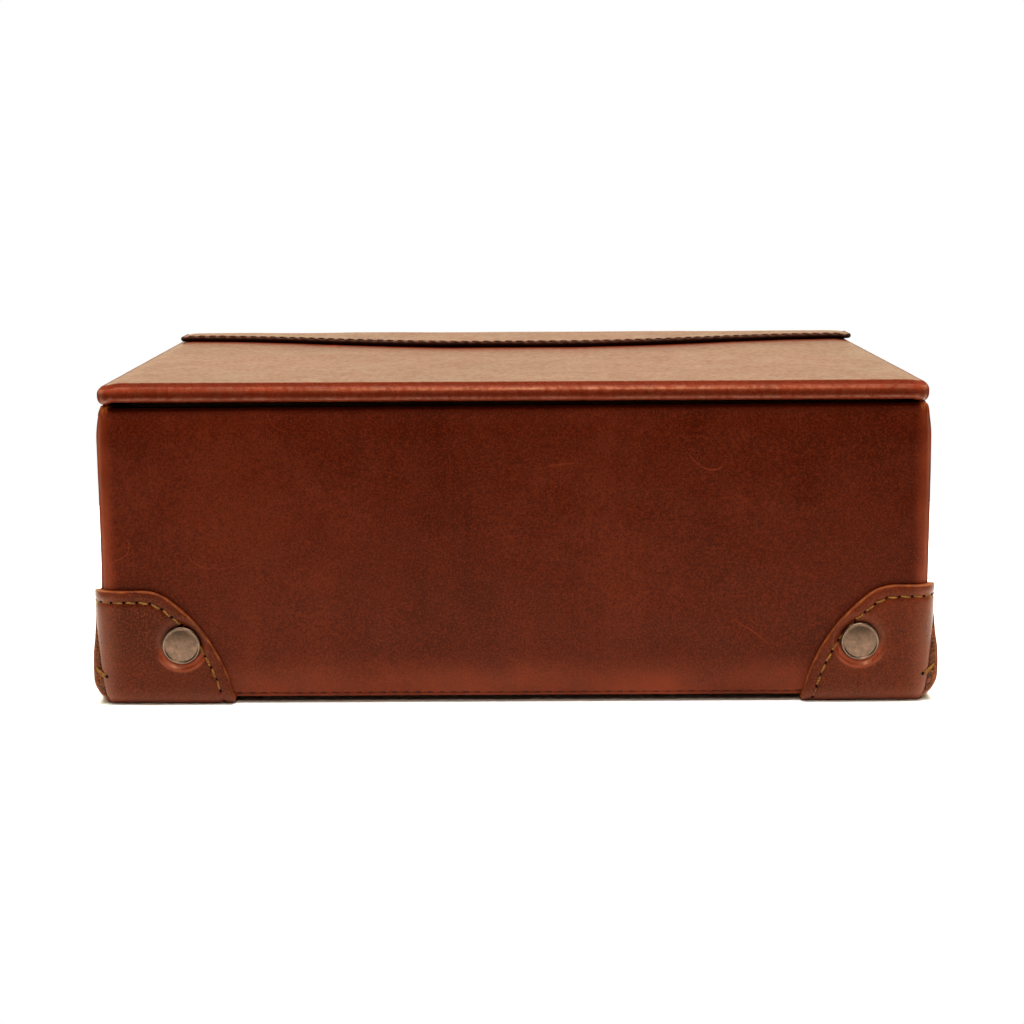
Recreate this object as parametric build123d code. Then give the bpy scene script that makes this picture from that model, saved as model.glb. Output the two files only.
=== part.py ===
from build123d import *
import os
from math import asin, cos, radians, sin

# Leather-covered desk box with a lift lid.
#
# A box of thin board is covered in one band of leather, turned over the rim and under the base.
# Riveted leather guards wrap its lower corners and are the feet it stands on. The lid is a padded
# board with rolled edges, and a leather strip sewn across its back edge and down the rear wall is
# the hinge. Inside, covered cards line the walls and two half-lapped dividers part the space.
#
# Frame: the origin is on the desk under the middle of the box, +X is right, +Y is the back and
# +Z is up. Lengths are in millimetres.

# ---------------------------------------------------------------- driving dimensions

# Case, measured over the leather
CASE_WIDTH = 263.8
CASE_DEPTH = 172.0
RIM_HEIGHT = 94.3  # desk to the top of the walls
CORNER_RADIUS = 5.0  # upright edges
BASE_RADIUS = 1.5  # edges round the base
RIM_LEAN = 1.4  # how far the walls draw in at the rim
RIM_LEAN_HEIGHT = 10.0  # the stretch below the rim that draws in
RIM_RADIUS = 2.2  # outer edge of the rim

# Case materials
COVER = 1.5  # leather on the walls
WALL_BOARD = 4.0
BASE_BOARD = 4.0
TURN_IN = 14.0  # leather turned down inside the rim
TURN_IN_THICKNESS = 0.8  # pared thin there
TURN_UNDER = 12.0  # leather turned under the base
REST_WIDTH = 8.0  # gathered leather at a rim corner, on which the lid rests
REST_SETBACK = 2.4  # its distance in from the wall's face

# Linings and dividers
LINING = 1.8
BASE_LINING = 1.5
LINING_DROP = 3.0  # rim to the top of the linings
DIVIDER = 4.0
DIVIDER_HEIGHT = 58.0
DIVIDER_TOP_RADIUS = 1.5
DIVIDER_PLAY = 0.3  # loose fit of the dividers between the linings and in each other
LONG_DIVIDER_Y = 22.0
CROSS_DIVIDER_X = -38.0

# Corner guards
GUARD = 2.2  # leather on the walls
FOOT = 2.0  # leather under the base
GUARD_TURN_RADIUS = 14.0  # where the guard's top edge turns down
GUARD_TURN_ANGLE = 37.0
GUARD_SLOPE = 0.6  # run of the long arc below it, to that arc's drop
SEAM_TOP = 26.0  # top of the sewn dart at the upright edge
SEAM_BULGE = 1.2  # how far it stands out of the guard's side face
SEAM_FRONT_BULGE = 0.2  # and out of its front face
SEAM_INSET = 1.8  # where it starts, in from each face
SEAM_TAPER = 14.0  # where it has died away along the side
SEAM_SLIT = 0.5  # the line between the two leathers
SEAM_DEPTH = 1.2  # its depth from the front face

# The guards are cut and riveted by hand, so each has its own reach along the walls, its own height,
# and its own place for its rivets: in from the guard's outer corner, and up from the desk
GUARD_CUTS = {
    "front_left": (44.6, 36.9, 28.1, 19.5),
    "front_right": (42.7, 37.7, 24.5, 19.9),
    "rear_left": (44.2, 37.1, 27.4, 19.6),
    "rear_right": (43.4, 37.3, 25.6, 19.7),
}

# Rivets
CAP_RADIUS = 6.0
CAP_HEIGHT = 1.2
CAP_EDGE = 0.4  # bevel round the cap
CAP_SEAT = 0.5  # how deep the cap is pressed into the leather
DIMPLE_RADIUS = 8.6
POST_RADIUS = 2.0
BACK_RADIUS = 4.8
BACK_HEIGHT = 0.9
RIVET_FIT = 0.05  # radial play of each round fit

# Lid
LID_SIDE_SETBACK = 0.8  # in from each side wall's face
LID_FRONT_SETBACK = 1.0  # and from the front wall's
LID_GAP = 1.4  # rim to the lid's underside
LID_THICKNESS = 7.0
LID_FOOT_ROUND = 2.2  # lower round of the rolled edges
LID_EDGE_FLAT = 1.4  # left between it and the upper round
LID_CORNER = 6.0
LID_COVER = 1.5
LID_TURN_IN = 16.0
LID_LINING = 1.2  # below the lid's underside
LID_LINING_PLAY = 2.7  # to the leather turned down inside the rim

# Leather hinge strip
STRIP = 2.0
STRIP_SETBACK = 1.3  # in from each side of the lid
STRIP_MIDDLE = 47.5  # reach onto the lid, at the middle
STRIP_ENDS = 18.5  # and at the ends
STRIP_FLAT = 15.0  # half the straight stretch at the middle
STRIP_DROP_MIDDLE = 44.0  # reach down the rear wall
STRIP_DROP_ENDS = 20.0
STRIP_TIP_RADIUS = 4.0
HINGE_PLAY = 0.4  # lid's back edge to the strip

# ---------------------------------------------------------------- worked-out sizes

HALF_WIDTH = CASE_WIDTH / 2
HALF_DEPTH = CASE_DEPTH / 2
SEATED = COVER + WALL_BOARD  # wall face to the board's inner face
INNER = SEATED + LINING  # wall face to the lining's inner face
BOARD_FLOOR = FOOT + COVER
LINING_FLOOR = BOARD_FLOOR + BASE_BOARD
FLOOR = LINING_FLOOR + BASE_LINING
LID_UNDERSIDE = RIM_HEIGHT + LID_GAP
LID_TOP = LID_UNDERSIDE + LID_THICKNESS
LID_WIDTH = CASE_WIDTH - 2 * LID_SIDE_SETBACK
LID_FRONT = -HALF_DEPTH + LID_FRONT_SETBACK
LID_BACK = HALF_DEPTH - HINGE_PLAY
LID_ROUND = LID_THICKNESS - LID_EDGE_FLAT - LID_FOOT_ROUND
STRIP_WIDTH = LID_WIDTH - 2 * STRIP_SETBACK
LEAN_RADIUS = (RIM_LEAN_HEIGHT**2 + RIM_LEAN**2) / (2 * RIM_LEAN)
REACH_OUT = 5.0  # how far the cutting bodies pass the faces they cut

FROM_BELOW = (Align.CENTER, Align.CENTER, Align.MIN)


def slab(width, depth, bottom, top, radius=0.0):
    """An upright block on the middle of the box, with rounded upright edges."""
    plan = RectangleRounded(width, depth, radius) if radius > 0 else Rectangle(width, depth)
    return Pos(0, 0, bottom) * extrude(plan, top - bottom)


def span(x, y, z):
    """A box from pairs of low and high coordinates."""
    low = (x[0], y[0], z[0])
    size = (x[1] - x[0], y[1] - y[0], z[1] - z[0])
    return Pos(*low) * Box(*size, align=Align.MIN)


def save(name, shape):
    export_step(shape, f"parts/{name}.step")


# ---------------------------------------------------------------- case


def rim_cutter():
    """The ring outside the walls' lean: an arc's hollow carried round the rim."""
    outline = Pos(0, 0, RIM_HEIGHT) * RectangleRounded(CASE_WIDTH, CASE_DEPTH, CORNER_RADIUS)
    path = outline.face().outer_wire()
    along = path % 0
    across = along.cross(Vector(0, 0, 1))
    half_turn = asin(RIM_LEAN_HEIGHT / LEAN_RADIUS) / 2
    foot = (0, -RIM_LEAN_HEIGHT)
    halfway = (LEAN_RADIUS * (cos(half_turn) - 1), LEAN_RADIUS * sin(half_turn) - RIM_LEAN_HEIGHT)
    top = (-RIM_LEAN, 0)
    arc = ThreePointArc(foot, halfway, top)
    outside = Polyline(
        top, (-RIM_LEAN, REACH_OUT), (REACH_OUT, REACH_OUT), (REACH_OUT, -RIM_LEAN_HEIGHT), foot
    )
    profile = make_face(arc.edges() + outside.edges())
    station = Plane(origin=path @ 0, x_dir=across, z_dir=-along)
    return sweep(station * profile, path=path)


def case_outer():
    """The case's closed outer form."""
    block = slab(CASE_WIDTH, CASE_DEPTH, FOOT, RIM_HEIGHT, CORNER_RADIUS)
    block = block - rim_cutter()
    block = fillet(block.edges().group_by(Axis.Z)[-1], RIM_RADIUS)
    return fillet(block.edges().group_by(Axis.Z)[0], BASE_RADIUS)


def case_core():
    """The boards' closed form under the leather, planed off towards the rim."""
    width = CASE_WIDTH - 2 * COVER
    depth = CASE_DEPTH - 2 * COVER
    block = slab(width, depth, BOARD_FLOOR, RIM_HEIGHT - COVER, CORNER_RADIUS - COVER)
    top = block.faces().sort_by(Axis.Z)[-1]
    return chamfer(top.edges(), RIM_LEAN, RIM_LEAN_HEIGHT, reference=top)


def ring(outer_inset, inner_inset, bottom, top):
    """A square-cornered band inside the walls, between two insets from the leather's face."""
    outer = slab(CASE_WIDTH - 2 * outer_inset, CASE_DEPTH - 2 * outer_inset, bottom, top)
    inner = slab(CASE_WIDTH - 2 * inner_inset, CASE_DEPTH - 2 * inner_inset, bottom, top)
    return outer - inner


def lid_rests():
    """Gathered leather that stands above the rim at its four corners."""
    inner_inset = SEATED + TURN_IN_THICKNESS
    outer = slab(
        CASE_WIDTH - 2 * REST_SETBACK,
        CASE_DEPTH - 2 * REST_SETBACK,
        RIM_HEIGHT - COVER / 2,
        LID_UNDERSIDE,
        CORNER_RADIUS - REST_SETBACK,
    )
    inner = slab(
        CASE_WIDTH - 2 * inner_inset, CASE_DEPTH - 2 * inner_inset, RIM_HEIGHT - COVER, LID_UNDERSIDE
    )
    band = outer - inner
    rests = []
    for side in (-1, 1):
        for end in (-1, 1):
            corner = Pos(side * HALF_WIDTH, end * HALF_DEPTH, RIM_HEIGHT)
            rests.append(band & corner * Box(2 * REST_WIDTH, 2 * REST_WIDTH, 2 * REACH_OUT))
    return rests


def wall_cover(body, core):
    """One band of leather: over the rim, down the walls and under the base."""
    lip = SEATED + TURN_IN_THICKNESS
    cover = body - core
    cover = cover - slab(CASE_WIDTH - 2 * lip, CASE_DEPTH - 2 * lip, FLOOR, RIM_HEIGHT + REACH_OUT)
    window = slab(
        CASE_WIDTH - 2 * TURN_UNDER, CASE_DEPTH - 2 * TURN_UNDER, FOOT - REACH_OUT, BOARD_FLOOR + COVER
    )
    cover = cover - window + ring(SEATED, lip, RIM_HEIGHT - TURN_IN, RIM_HEIGHT)
    for rest in lid_rests():
        cover = cover + rest
    return cover


def base_cover():
    """The leather panel let in under the base, inside the turned-under band."""
    return slab(CASE_WIDTH - 2 * TURN_UNDER, CASE_DEPTH - 2 * TURN_UNDER, FOOT, BOARD_FLOOR)


def case_boards(core):
    """The base, and four walls standing on it: front and rear full width, the sides between."""
    inner_width = CASE_WIDTH - 2 * SEATED
    inner_depth = CASE_DEPTH - 2 * SEATED
    walls = core - slab(inner_width, inner_depth, BOARD_FLOOR, RIM_HEIGHT)
    walls = walls & slab(CASE_WIDTH, CASE_DEPTH, LINING_FLOOR, RIM_HEIGHT)
    far_x = (HALF_WIDTH - SEATED, HALF_WIDTH)
    far_y = (HALF_DEPTH - SEATED, HALF_DEPTH)
    all_x = (-HALF_WIDTH, HALF_WIDTH)
    between = (-far_y[0], far_y[0])
    height = (LINING_FLOOR, RIM_HEIGHT)
    return {
        "base_panel": core & slab(CASE_WIDTH, CASE_DEPTH, BOARD_FLOOR, LINING_FLOOR),
        "front_panel": walls & span(all_x, (-far_y[1], -far_y[0]), height),
        "rear_panel": walls & span(all_x, far_y, height),
        "left_panel": walls & span((-far_x[1], -far_x[0]), between, height),
        "right_panel": walls & span(far_x, between, height),
    }


# ---------------------------------------------------------------- linings and dividers


def linings():
    """Covered cards on the base and the walls, rebated over the leather turned down inside."""
    x_seat = HALF_WIDTH - SEATED
    y_seat = HALF_DEPTH - SEATED
    x_face = HALF_WIDTH - INNER
    y_face = HALF_DEPTH - INNER
    height = (FLOOR, RIM_HEIGHT - LINING_DROP)
    lip = SEATED + TURN_IN_THICKNESS
    rebate = ring(SEATED, lip, RIM_HEIGHT - TURN_IN, RIM_HEIGHT)
    floor = slab(2 * x_seat, 2 * y_seat, LINING_FLOOR, FLOOR)
    cards = {
        "front_lining": span((-x_seat, x_seat), (-y_seat, -y_face), height),
        "rear_lining": span((-x_seat, x_seat), (y_face, y_seat), height),
        "left_lining": span((-x_seat, -x_face), (-y_face, y_face), height),
        "right_lining": span((x_face, x_seat), (-y_face, y_face), height),
    }
    walls = {name: card - rebate for name, card in cards.items()}
    return {"base_lining": floor, **walls}


def divider(length):
    """A covered board on its edge along X, rounded along the top."""
    board = Pos(0, 0, FLOOR) * Box(length, DIVIDER, DIVIDER_HEIGHT, align=FROM_BELOW)
    top_edges = board.edges().filter_by(Axis.X).group_by(Axis.Z)[-1]
    return fillet(top_edges, DIVIDER_TOP_RADIUS)


def dividers():
    """Two dividers half-lapped where they cross: the long one is notched from above."""
    long_length = CASE_WIDTH - 2 * INNER - 2 * DIVIDER_PLAY
    cross_length = CASE_DEPTH - 2 * INNER - 2 * DIVIDER_PLAY
    notch = DIVIDER + 2 * DIVIDER_PLAY
    lap = FLOOR + DIVIDER_HEIGHT / 2
    x = (CROSS_DIVIDER_X - notch / 2, CROSS_DIVIDER_X + notch / 2)
    y = (LONG_DIVIDER_Y - notch / 2, LONG_DIVIDER_Y + notch / 2)
    upper = span(x, y, (lap, FLOOR + DIVIDER_HEIGHT + REACH_OUT))
    lower = span(x, y, (FLOOR - REACH_OUT, lap))
    return {
        "long_divider": Pos(0, LONG_DIVIDER_Y, 0) * divider(long_length) - upper,
        "cross_divider": Pos(CROSS_DIVIDER_X, 0, 0) * Rot(0, 0, 90) * divider(cross_length) - lower,
    }


# ---------------------------------------------------------------- corner guards and rivets


def lobe(reach, height):
    """One lobe of a guard, from its corner: level on top, then two arcs turning down to the base."""
    turn = radians(GUARD_TURN_ANGLE)
    dip = GUARD_TURN_RADIUS * (1 - cos(turn))
    drop = height - dip
    run = drop * GUARD_SLOPE
    start = reach - run - GUARD_TURN_RADIUS * sin(turn)
    shoulder = (reach - run, drop)
    level = Line((0, height), (start, height))
    tight = TangentArc((start, height), shoulder, tangent=(1, 0))
    wide = TangentArc(shoulder, (reach, 0), tangent=(cos(turn), -sin(turn)))
    foot = Polyline((reach, 0), (0, 0), (0, height))
    return make_face(level.edges() + tight.edges() + wide.edges() + foot.edges())


def rivet_stations(side, end, rivet_in, rivet_up):
    """A guard's two rivet places on the walls' faces, with Z pointing out of the wall."""
    x = side * (HALF_WIDTH + GUARD - rivet_in)
    y = end * (HALF_DEPTH + GUARD - rivet_in)
    on_front = Plane(origin=(x, end * HALF_DEPTH, rivet_up), x_dir=(1, 0, 0), z_dir=(0, end, 0))
    on_side = Plane(origin=(side * HALF_WIDTH, y, rivet_up), x_dir=(0, 1, 0), z_dir=(side, 0, 0))
    return [on_front, on_side]


def swelling(bulge):
    """A dart's side view: an arc that stands proud of the upright corner's two leathers."""
    arc = ThreePointArc((SEAM_INSET, 0), (-bulge, SEAM_TOP / 2), (SEAM_INSET, SEAM_TOP))
    back = Polyline((SEAM_INSET, SEAM_TOP), (SEAM_TAPER, SEAM_TOP), (SEAM_TAPER, 0), (SEAM_INSET, 0))
    return make_face(arc.edges() + back.edges())


def guard_dart(corner_x, corner_y):
    """The pinched edge of the dart sewn up the upright corner, dying away along the side."""
    outside_x = corner_x - REACH_OUT
    outside_y = corner_y - REACH_OUT
    seen_in_front = Plane(origin=(corner_x, outside_y, 0), x_dir=(1, 0, 0), z_dir=(0, -1, 0))
    seen_from_side = Plane(origin=(outside_x, corner_y, 0), x_dir=(0, 1, 0), z_dir=(1, 0, 0))
    side_swell = extrude(seen_in_front * swelling(SEAM_BULGE), -SEAM_TAPER - REACH_OUT)
    front_swell = extrude(seen_from_side * swelling(SEAM_FRONT_BULGE), SEAM_TAPER + REACH_OUT)
    wedge = Polyline(
        (-SEAM_BULGE, -SEAM_FRONT_BULGE),
        (-SEAM_BULGE, SEAM_INSET),
        (0, SEAM_TAPER),
        (SEAM_TAPER, SEAM_TAPER),
        (SEAM_TAPER, -SEAM_FRONT_BULGE),
        close=True,
    )
    pinch = side_swell & front_swell & extrude(Pos(corner_x, corner_y, 0) * make_face(wedge), SEAM_TOP)
    limit = slab(-2 * corner_x + 2 * SEAM_BULGE, -2 * corner_y + 2 * SEAM_FRONT_BULGE, 0, SEAM_TOP)
    return pinch & fillet(limit.edges().group_by(Axis.Z)[0], BASE_RADIUS + FOOT)


def corner_guard(body, side, end, reach, height, rivet_in, rivet_up):
    """Leather wrapped round a lower corner: a lobe on each wall and a flap under the base."""
    width = CASE_WIDTH + 2 * GUARD
    depth = CASE_DEPTH + 2 * GUARD
    block = slab(width, depth, 0, height, CORNER_RADIUS + GUARD)
    block = fillet(block.edges().group_by(Axis.Z)[0], BASE_RADIUS + FOOT)
    corner_x = -width / 2
    corner_y = -depth / 2
    wrap = GUARD + CORNER_RADIUS
    on_front = Plane(origin=(corner_x, corner_y, 0), x_dir=(1, 0, 0), z_dir=(0, -1, 0))
    on_side = Plane(origin=(corner_x, corner_y, 0), x_dir=(0, 1, 0), z_dir=(1, 0, 0))
    front_lobe = extrude(on_front * lobe(reach, height), -wrap)
    side_lobe = extrude(on_side * lobe(reach, height), wrap)
    round_flap = Pos(corner_x + wrap, corner_y + wrap, 0) * Cylinder(reach - wrap, FOOT, align=FROM_BELOW)
    flap = round_flap & span((corner_x + wrap, 0), (corner_y + wrap, 0), (0, FOOT))
    guard = (block & (front_lobe + side_lobe + flap)) + guard_dart(corner_x, corner_y)
    slit = span(
        (corner_x + SEAM_INSET, corner_x + SEAM_INSET + SEAM_SLIT),
        (corner_y - REACH_OUT, corner_y + SEAM_DEPTH),
        (FOOT, SEAM_TOP),
    )
    guard = guard - slit - body
    if side > 0:
        guard = mirror(guard, about=Plane.YZ)
    if end > 0:
        guard = mirror(guard, about=Plane.XZ)
    for station in rivet_stations(side, end, rivet_in, rivet_up):
        guard = guard - station * rivet_seat() - station * rivet_hole()
    return guard


def rivet_seat():
    """The dimple that a cap is pressed into, flared out to the guard's face."""
    radius = CAP_RADIUS + RIVET_FIT
    seat = GUARD - CAP_SEAT
    clear = GUARD + REACH_OUT
    section = Polyline(
        (0, seat), (radius, seat), (DIMPLE_RADIUS, GUARD), (DIMPLE_RADIUS, clear), (0, clear), close=True
    )
    return revolve(Plane.XZ * make_face(section), Axis.Z)


def rivet_hole():
    """The hole for a rivet's post, from the guard's face to the board's inner face."""
    length = GUARD + REACH_OUT + SEATED
    return Pos(0, 0, -SEATED) * Cylinder(POST_RADIUS + RIVET_FIT, length, align=FROM_BELOW)


def rivet_pocket():
    """The pocket in the board's inner face that takes a rivet's back."""
    radius = BACK_RADIUS + RIVET_FIT
    return Pos(0, 0, -SEATED - REACH_OUT) * Cylinder(radius, REACH_OUT + BACK_HEIGHT, align=FROM_BELOW)


def rivet_cap():
    """A flat bevelled cap on a post that ends on the rivet's back."""
    seat = GUARD - CAP_SEAT
    face = seat + CAP_HEIGHT
    foot = BACK_HEIGHT - SEATED
    section = Polyline(
        (0, face),
        (CAP_RADIUS - CAP_EDGE, face),
        (CAP_RADIUS, face - CAP_EDGE),
        (CAP_RADIUS, seat),
        (POST_RADIUS, seat),
        (POST_RADIUS, foot),
        (0, foot),
        close=True,
    )
    return revolve(Plane.XZ * make_face(section), Axis.Z)


def rivet_back():
    """The disc let into the board's inner face, on which the post is set."""
    return Pos(0, 0, -SEATED) * Cylinder(BACK_RADIUS, BACK_HEIGHT, align=FROM_BELOW)


# ---------------------------------------------------------------- lid and hinge


def lid_slab(inset, bottom, top, radius):
    """A slab under the lid's outline, in from it by an even inset."""
    width = LID_WIDTH - 2 * inset
    depth = LID_BACK - LID_FRONT - 2 * inset
    return Pos(0, (LID_FRONT + LID_BACK) / 2, 0) * slab(width, depth, bottom, top, radius)


def lid_pieces():
    """The lid's board, the leather rolled round it, and the lining card let into its underside."""
    rolled = lid_slab(0, LID_UNDERSIDE, LID_TOP, LID_CORNER)
    rolled = fillet(rolled.edges().group_by(Axis.Z)[-1], LID_ROUND)
    rolled = fillet(rolled.edges().group_by(Axis.Z)[0], LID_FOOT_ROUND)
    panel = lid_slab(LID_ROUND, LID_UNDERSIDE + LID_COVER, LID_TOP - LID_COVER, LID_CORNER - LID_ROUND)
    window = lid_slab(LID_TURN_IN, LID_UNDERSIDE, LID_UNDERSIDE + LID_COVER, 0)
    margin = SEATED + TURN_IN_THICKNESS + LID_LINING_PLAY
    border = slab(
        CASE_WIDTH - 2 * margin,
        CASE_DEPTH - 2 * margin,
        LID_UNDERSIDE - LID_LINING,
        LID_UNDERSIDE,
        LID_CORNER,
    )
    return {"lid_panel": panel, "lid_cover": rolled - panel - window, "lid_lining": border + window}


def strip_outline(middle, ends):
    """The strip's outline from its fold: level at the middle, two equal arcs, and rounded tips."""
    half = STRIP_WIDTH / 2
    tip = half - STRIP_TIP_RADIUS
    sway = (STRIP_FLAT + tip) / 2
    edges = Line((-half, 0), (half, 0)).edges()
    for way in (1, -1):
        centre = (0, middle)
        flat = (way * STRIP_FLAT, middle)
        inflexion = (way * sway, (middle + ends) / 2)
        tip_top = (way * tip, ends)
        tip_side = (way * half, ends - STRIP_TIP_RADIUS)
        edges += Line(centre, flat).edges()
        edges += TangentArc(flat, inflexion, tangent=(way, 0)).edges()
        edges += TangentArc(tip_top, inflexion, tangent=(-way, 0)).edges()
        edges += TangentArc(tip_top, tip_side, tangent=(way, 0)).edges()
        edges += Line(tip_side, (way * half, 0)).edges()
    return make_face(edges)


def hinge_leaves():
    """The strip over the lid's back edge, parted on the bend's mid-line into its two leaves."""
    y_wall = HALF_DEPTH
    bend = (y_wall - LID_ROUND, LID_TOP - LID_ROUND)
    outside = LID_ROUND + STRIP
    low = LID_TOP - STRIP_DROP_MIDDLE
    near = y_wall - STRIP_MIDDLE
    quarter = sin(radians(45))
    outer_arc = ThreePointArc(
        (bend[0], bend[1] + outside),
        (bend[0] + outside * quarter, bend[1] + outside * quarter),
        (bend[0] + outside, bend[1]),
    )
    inner_arc = ThreePointArc(
        (bend[0], LID_TOP),
        (bend[0] + LID_ROUND * quarter, bend[1] + LID_ROUND * quarter),
        (y_wall, bend[1]),
    )
    back = Polyline((bend[0] + outside, bend[1]), (y_wall + STRIP, low), (y_wall, low), (y_wall, bend[1]))
    top = Polyline((bend[0], LID_TOP), (near, LID_TOP), (near, LID_TOP + STRIP), (bend[0], LID_TOP + STRIP))
    section = make_face(outer_arc.edges() + back.edges() + inner_arc.edges() + top.edges())
    strip = extrude(Plane.YZ * section, STRIP_WIDTH / 2, both=True)
    fold = (bend[0] + outside * quarter, bend[1] + outside * quarter)
    mitre = Plane(origin=(0, *fold), x_dir=(1, 0, 0), z_dir=(0, -1, 1))
    size = 4 * CASE_WIDTH
    above = mitre * Box(size, size, size, align=FROM_BELOW)
    flat_plan = Plane(origin=(0, y_wall + outside, 0), x_dir=(-1, 0, 0), z_dir=(0, 0, 1))
    flat_wall = Plane(origin=(0, 0, LID_TOP + outside), x_dir=(1, 0, 0), z_dir=(0, 1, 0))
    top_shape = strip_outline(STRIP_MIDDLE + outside, STRIP_ENDS + outside)
    wall_shape = strip_outline(STRIP_DROP_MIDDLE + outside, STRIP_DROP_ENDS + outside)
    top_cut = extrude(flat_plan * top_shape, 2 * LID_TOP)
    wall_cut = extrude(flat_wall * wall_shape, CASE_DEPTH)
    return {
        "hinge_upper_leaf": strip & above & top_cut,
        "hinge_lower_leaf": (strip - above) & wall_cut,
    }


# ---------------------------------------------------------------- the whole box

os.makedirs("parts", exist_ok=True)

body = case_outer()
core = case_core()
cover = wall_cover(body, core)
boards = case_boards(core)

caps = []
backs = []
for guard_name, (reach, height, *rivet_place) in GUARD_CUTS.items():
    side = -1 if guard_name.endswith("left") else 1
    end = -1 if guard_name.startswith("front") else 1
    guard = corner_guard(body, side, end, reach, height, *rivet_place)
    save(f"corner_guard_{guard_name}", guard)
    for station in rivet_stations(side, end, *rivet_place):
        cover = cover - station * rivet_hole()
        for board_name in ("front_panel", "rear_panel", "left_panel", "right_panel"):
            boards[board_name] = boards[board_name] - station * rivet_hole() - station * rivet_pocket()
        caps.append(station * rivet_cap())
        backs.append(station * rivet_back())

save("wall_cover", cover)
save("base_cover", base_cover())
save("rivet_caps", Compound(children=caps))
save("rivet_backs", Compound(children=backs))
for group in (boards, linings(), dividers(), lid_pieces(), hinge_leaves()):
    for node_name, node in group.items():
        save(node_name, node)
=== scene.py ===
# %% [markdown]
# # A leather-covered desk box with a lift lid
#
# The box is thin board covered in thick, waxed, red-brown leather. The construction (boards, linings,
# dividers, rivet backs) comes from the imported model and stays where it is. This notebook makes the
# surfaces that the eye meets: the leather band round the walls, the leather rolled round the lid, the
# hinge strip, the four corner guards, the rivet caps and every stitch, and then their finishes.

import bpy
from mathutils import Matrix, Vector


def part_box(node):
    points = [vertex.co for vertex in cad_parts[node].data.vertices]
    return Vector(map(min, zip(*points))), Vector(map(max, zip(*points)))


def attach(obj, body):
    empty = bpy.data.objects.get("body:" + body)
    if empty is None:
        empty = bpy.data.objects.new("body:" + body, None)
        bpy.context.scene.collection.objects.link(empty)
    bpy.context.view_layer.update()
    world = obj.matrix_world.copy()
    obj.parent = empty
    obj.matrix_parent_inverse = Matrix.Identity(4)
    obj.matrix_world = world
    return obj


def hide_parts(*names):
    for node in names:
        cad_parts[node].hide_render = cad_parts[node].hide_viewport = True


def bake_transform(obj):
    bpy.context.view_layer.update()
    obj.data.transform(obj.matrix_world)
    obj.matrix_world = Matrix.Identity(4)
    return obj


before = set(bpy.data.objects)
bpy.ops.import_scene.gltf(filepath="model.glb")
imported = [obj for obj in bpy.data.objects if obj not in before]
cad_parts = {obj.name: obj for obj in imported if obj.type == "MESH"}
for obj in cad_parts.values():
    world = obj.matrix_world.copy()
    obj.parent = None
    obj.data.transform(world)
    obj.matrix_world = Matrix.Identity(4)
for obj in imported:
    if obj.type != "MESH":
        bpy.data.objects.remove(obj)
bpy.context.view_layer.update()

# %% [markdown]
# ## Sizes, read off the frame
#
# Shapes are worked out in millimetres and turned into metres only when a mesh is made. The outside of
# the walls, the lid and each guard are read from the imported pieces, so the leather fits what it covers.

# %% Read the sizes
import bpy
import numpy as np
from math import radians
from mathutils import Matrix, Vector

MM = 0.001


def extent(node):
    """Lowest and highest corner of a CAD piece, in millimetres."""
    low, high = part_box(node)
    return np.array(low) / MM, np.array(high) / MM


COVER = 1.5  # leather on the walls and the lid
GUARD = 2.2  # leather of the corner guards
LID_PULL = 0.85  # how far the lid's leather is pulled up along the foot of its front edge
walls_low, walls_high = extent("wall_cover")
HALF_X, HALF_Y = walls_high[0], walls_high[1]
UNDERSIDE = walls_low[2]
RIM = extent("front_panel")[1][2] + COVER
lid_low, lid_high = extent("lid_cover")
LID_X = lid_high[0]
LID_Y = (lid_high[1] - lid_low[1]) / 2
LID_CENTRE_Y = (lid_high[1] + lid_low[1]) / 2
LID_TOP = lid_high[2]
LID_UNDER = lid_low[2]
LID_FOOT = LID_UNDER + LID_PULL
print(f"walls {2 * HALF_X:.1f} x {2 * HALF_Y:.1f} mm, rim at {RIM:.1f}, lid top at {LID_TOP:.1f}")

# %% [markdown]
# ## From formulas to meshes
#
# Every new piece is a grid of points, computed as whole arrays: rows run one way over the surface and
# columns the other, and each cell of the grid becomes a four-sided face. Where a surface closes on
# itself the last row or column is joined to the first. Points that meet are welded, holes at the ends
# of a piece are closed, and faces are turned outwards. Extra numbers kept per point, such as how
# sharply the leather bends there, are stored with the mesh for the materials to read.

# %% Grid to mesh
import bmesh


def grid_faces(shape, wrap_rows, wrap_columns):
    """Corner numbers of every cell in a stack of grids: (stack, rows, columns) to (cells, 4)."""
    index = np.arange(np.prod(shape)).reshape(shape)
    if wrap_rows:
        index = np.concatenate([index, index[:, :1]], axis=1)
    if wrap_columns:
        index = np.concatenate([index, index[:, :, :1]], axis=2)
    cells = [index[:, :-1, :-1], index[:, :-1, 1:], index[:, 1:, 1:], index[:, 1:, :-1]]
    return np.stack(cells, axis=-1)


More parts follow.
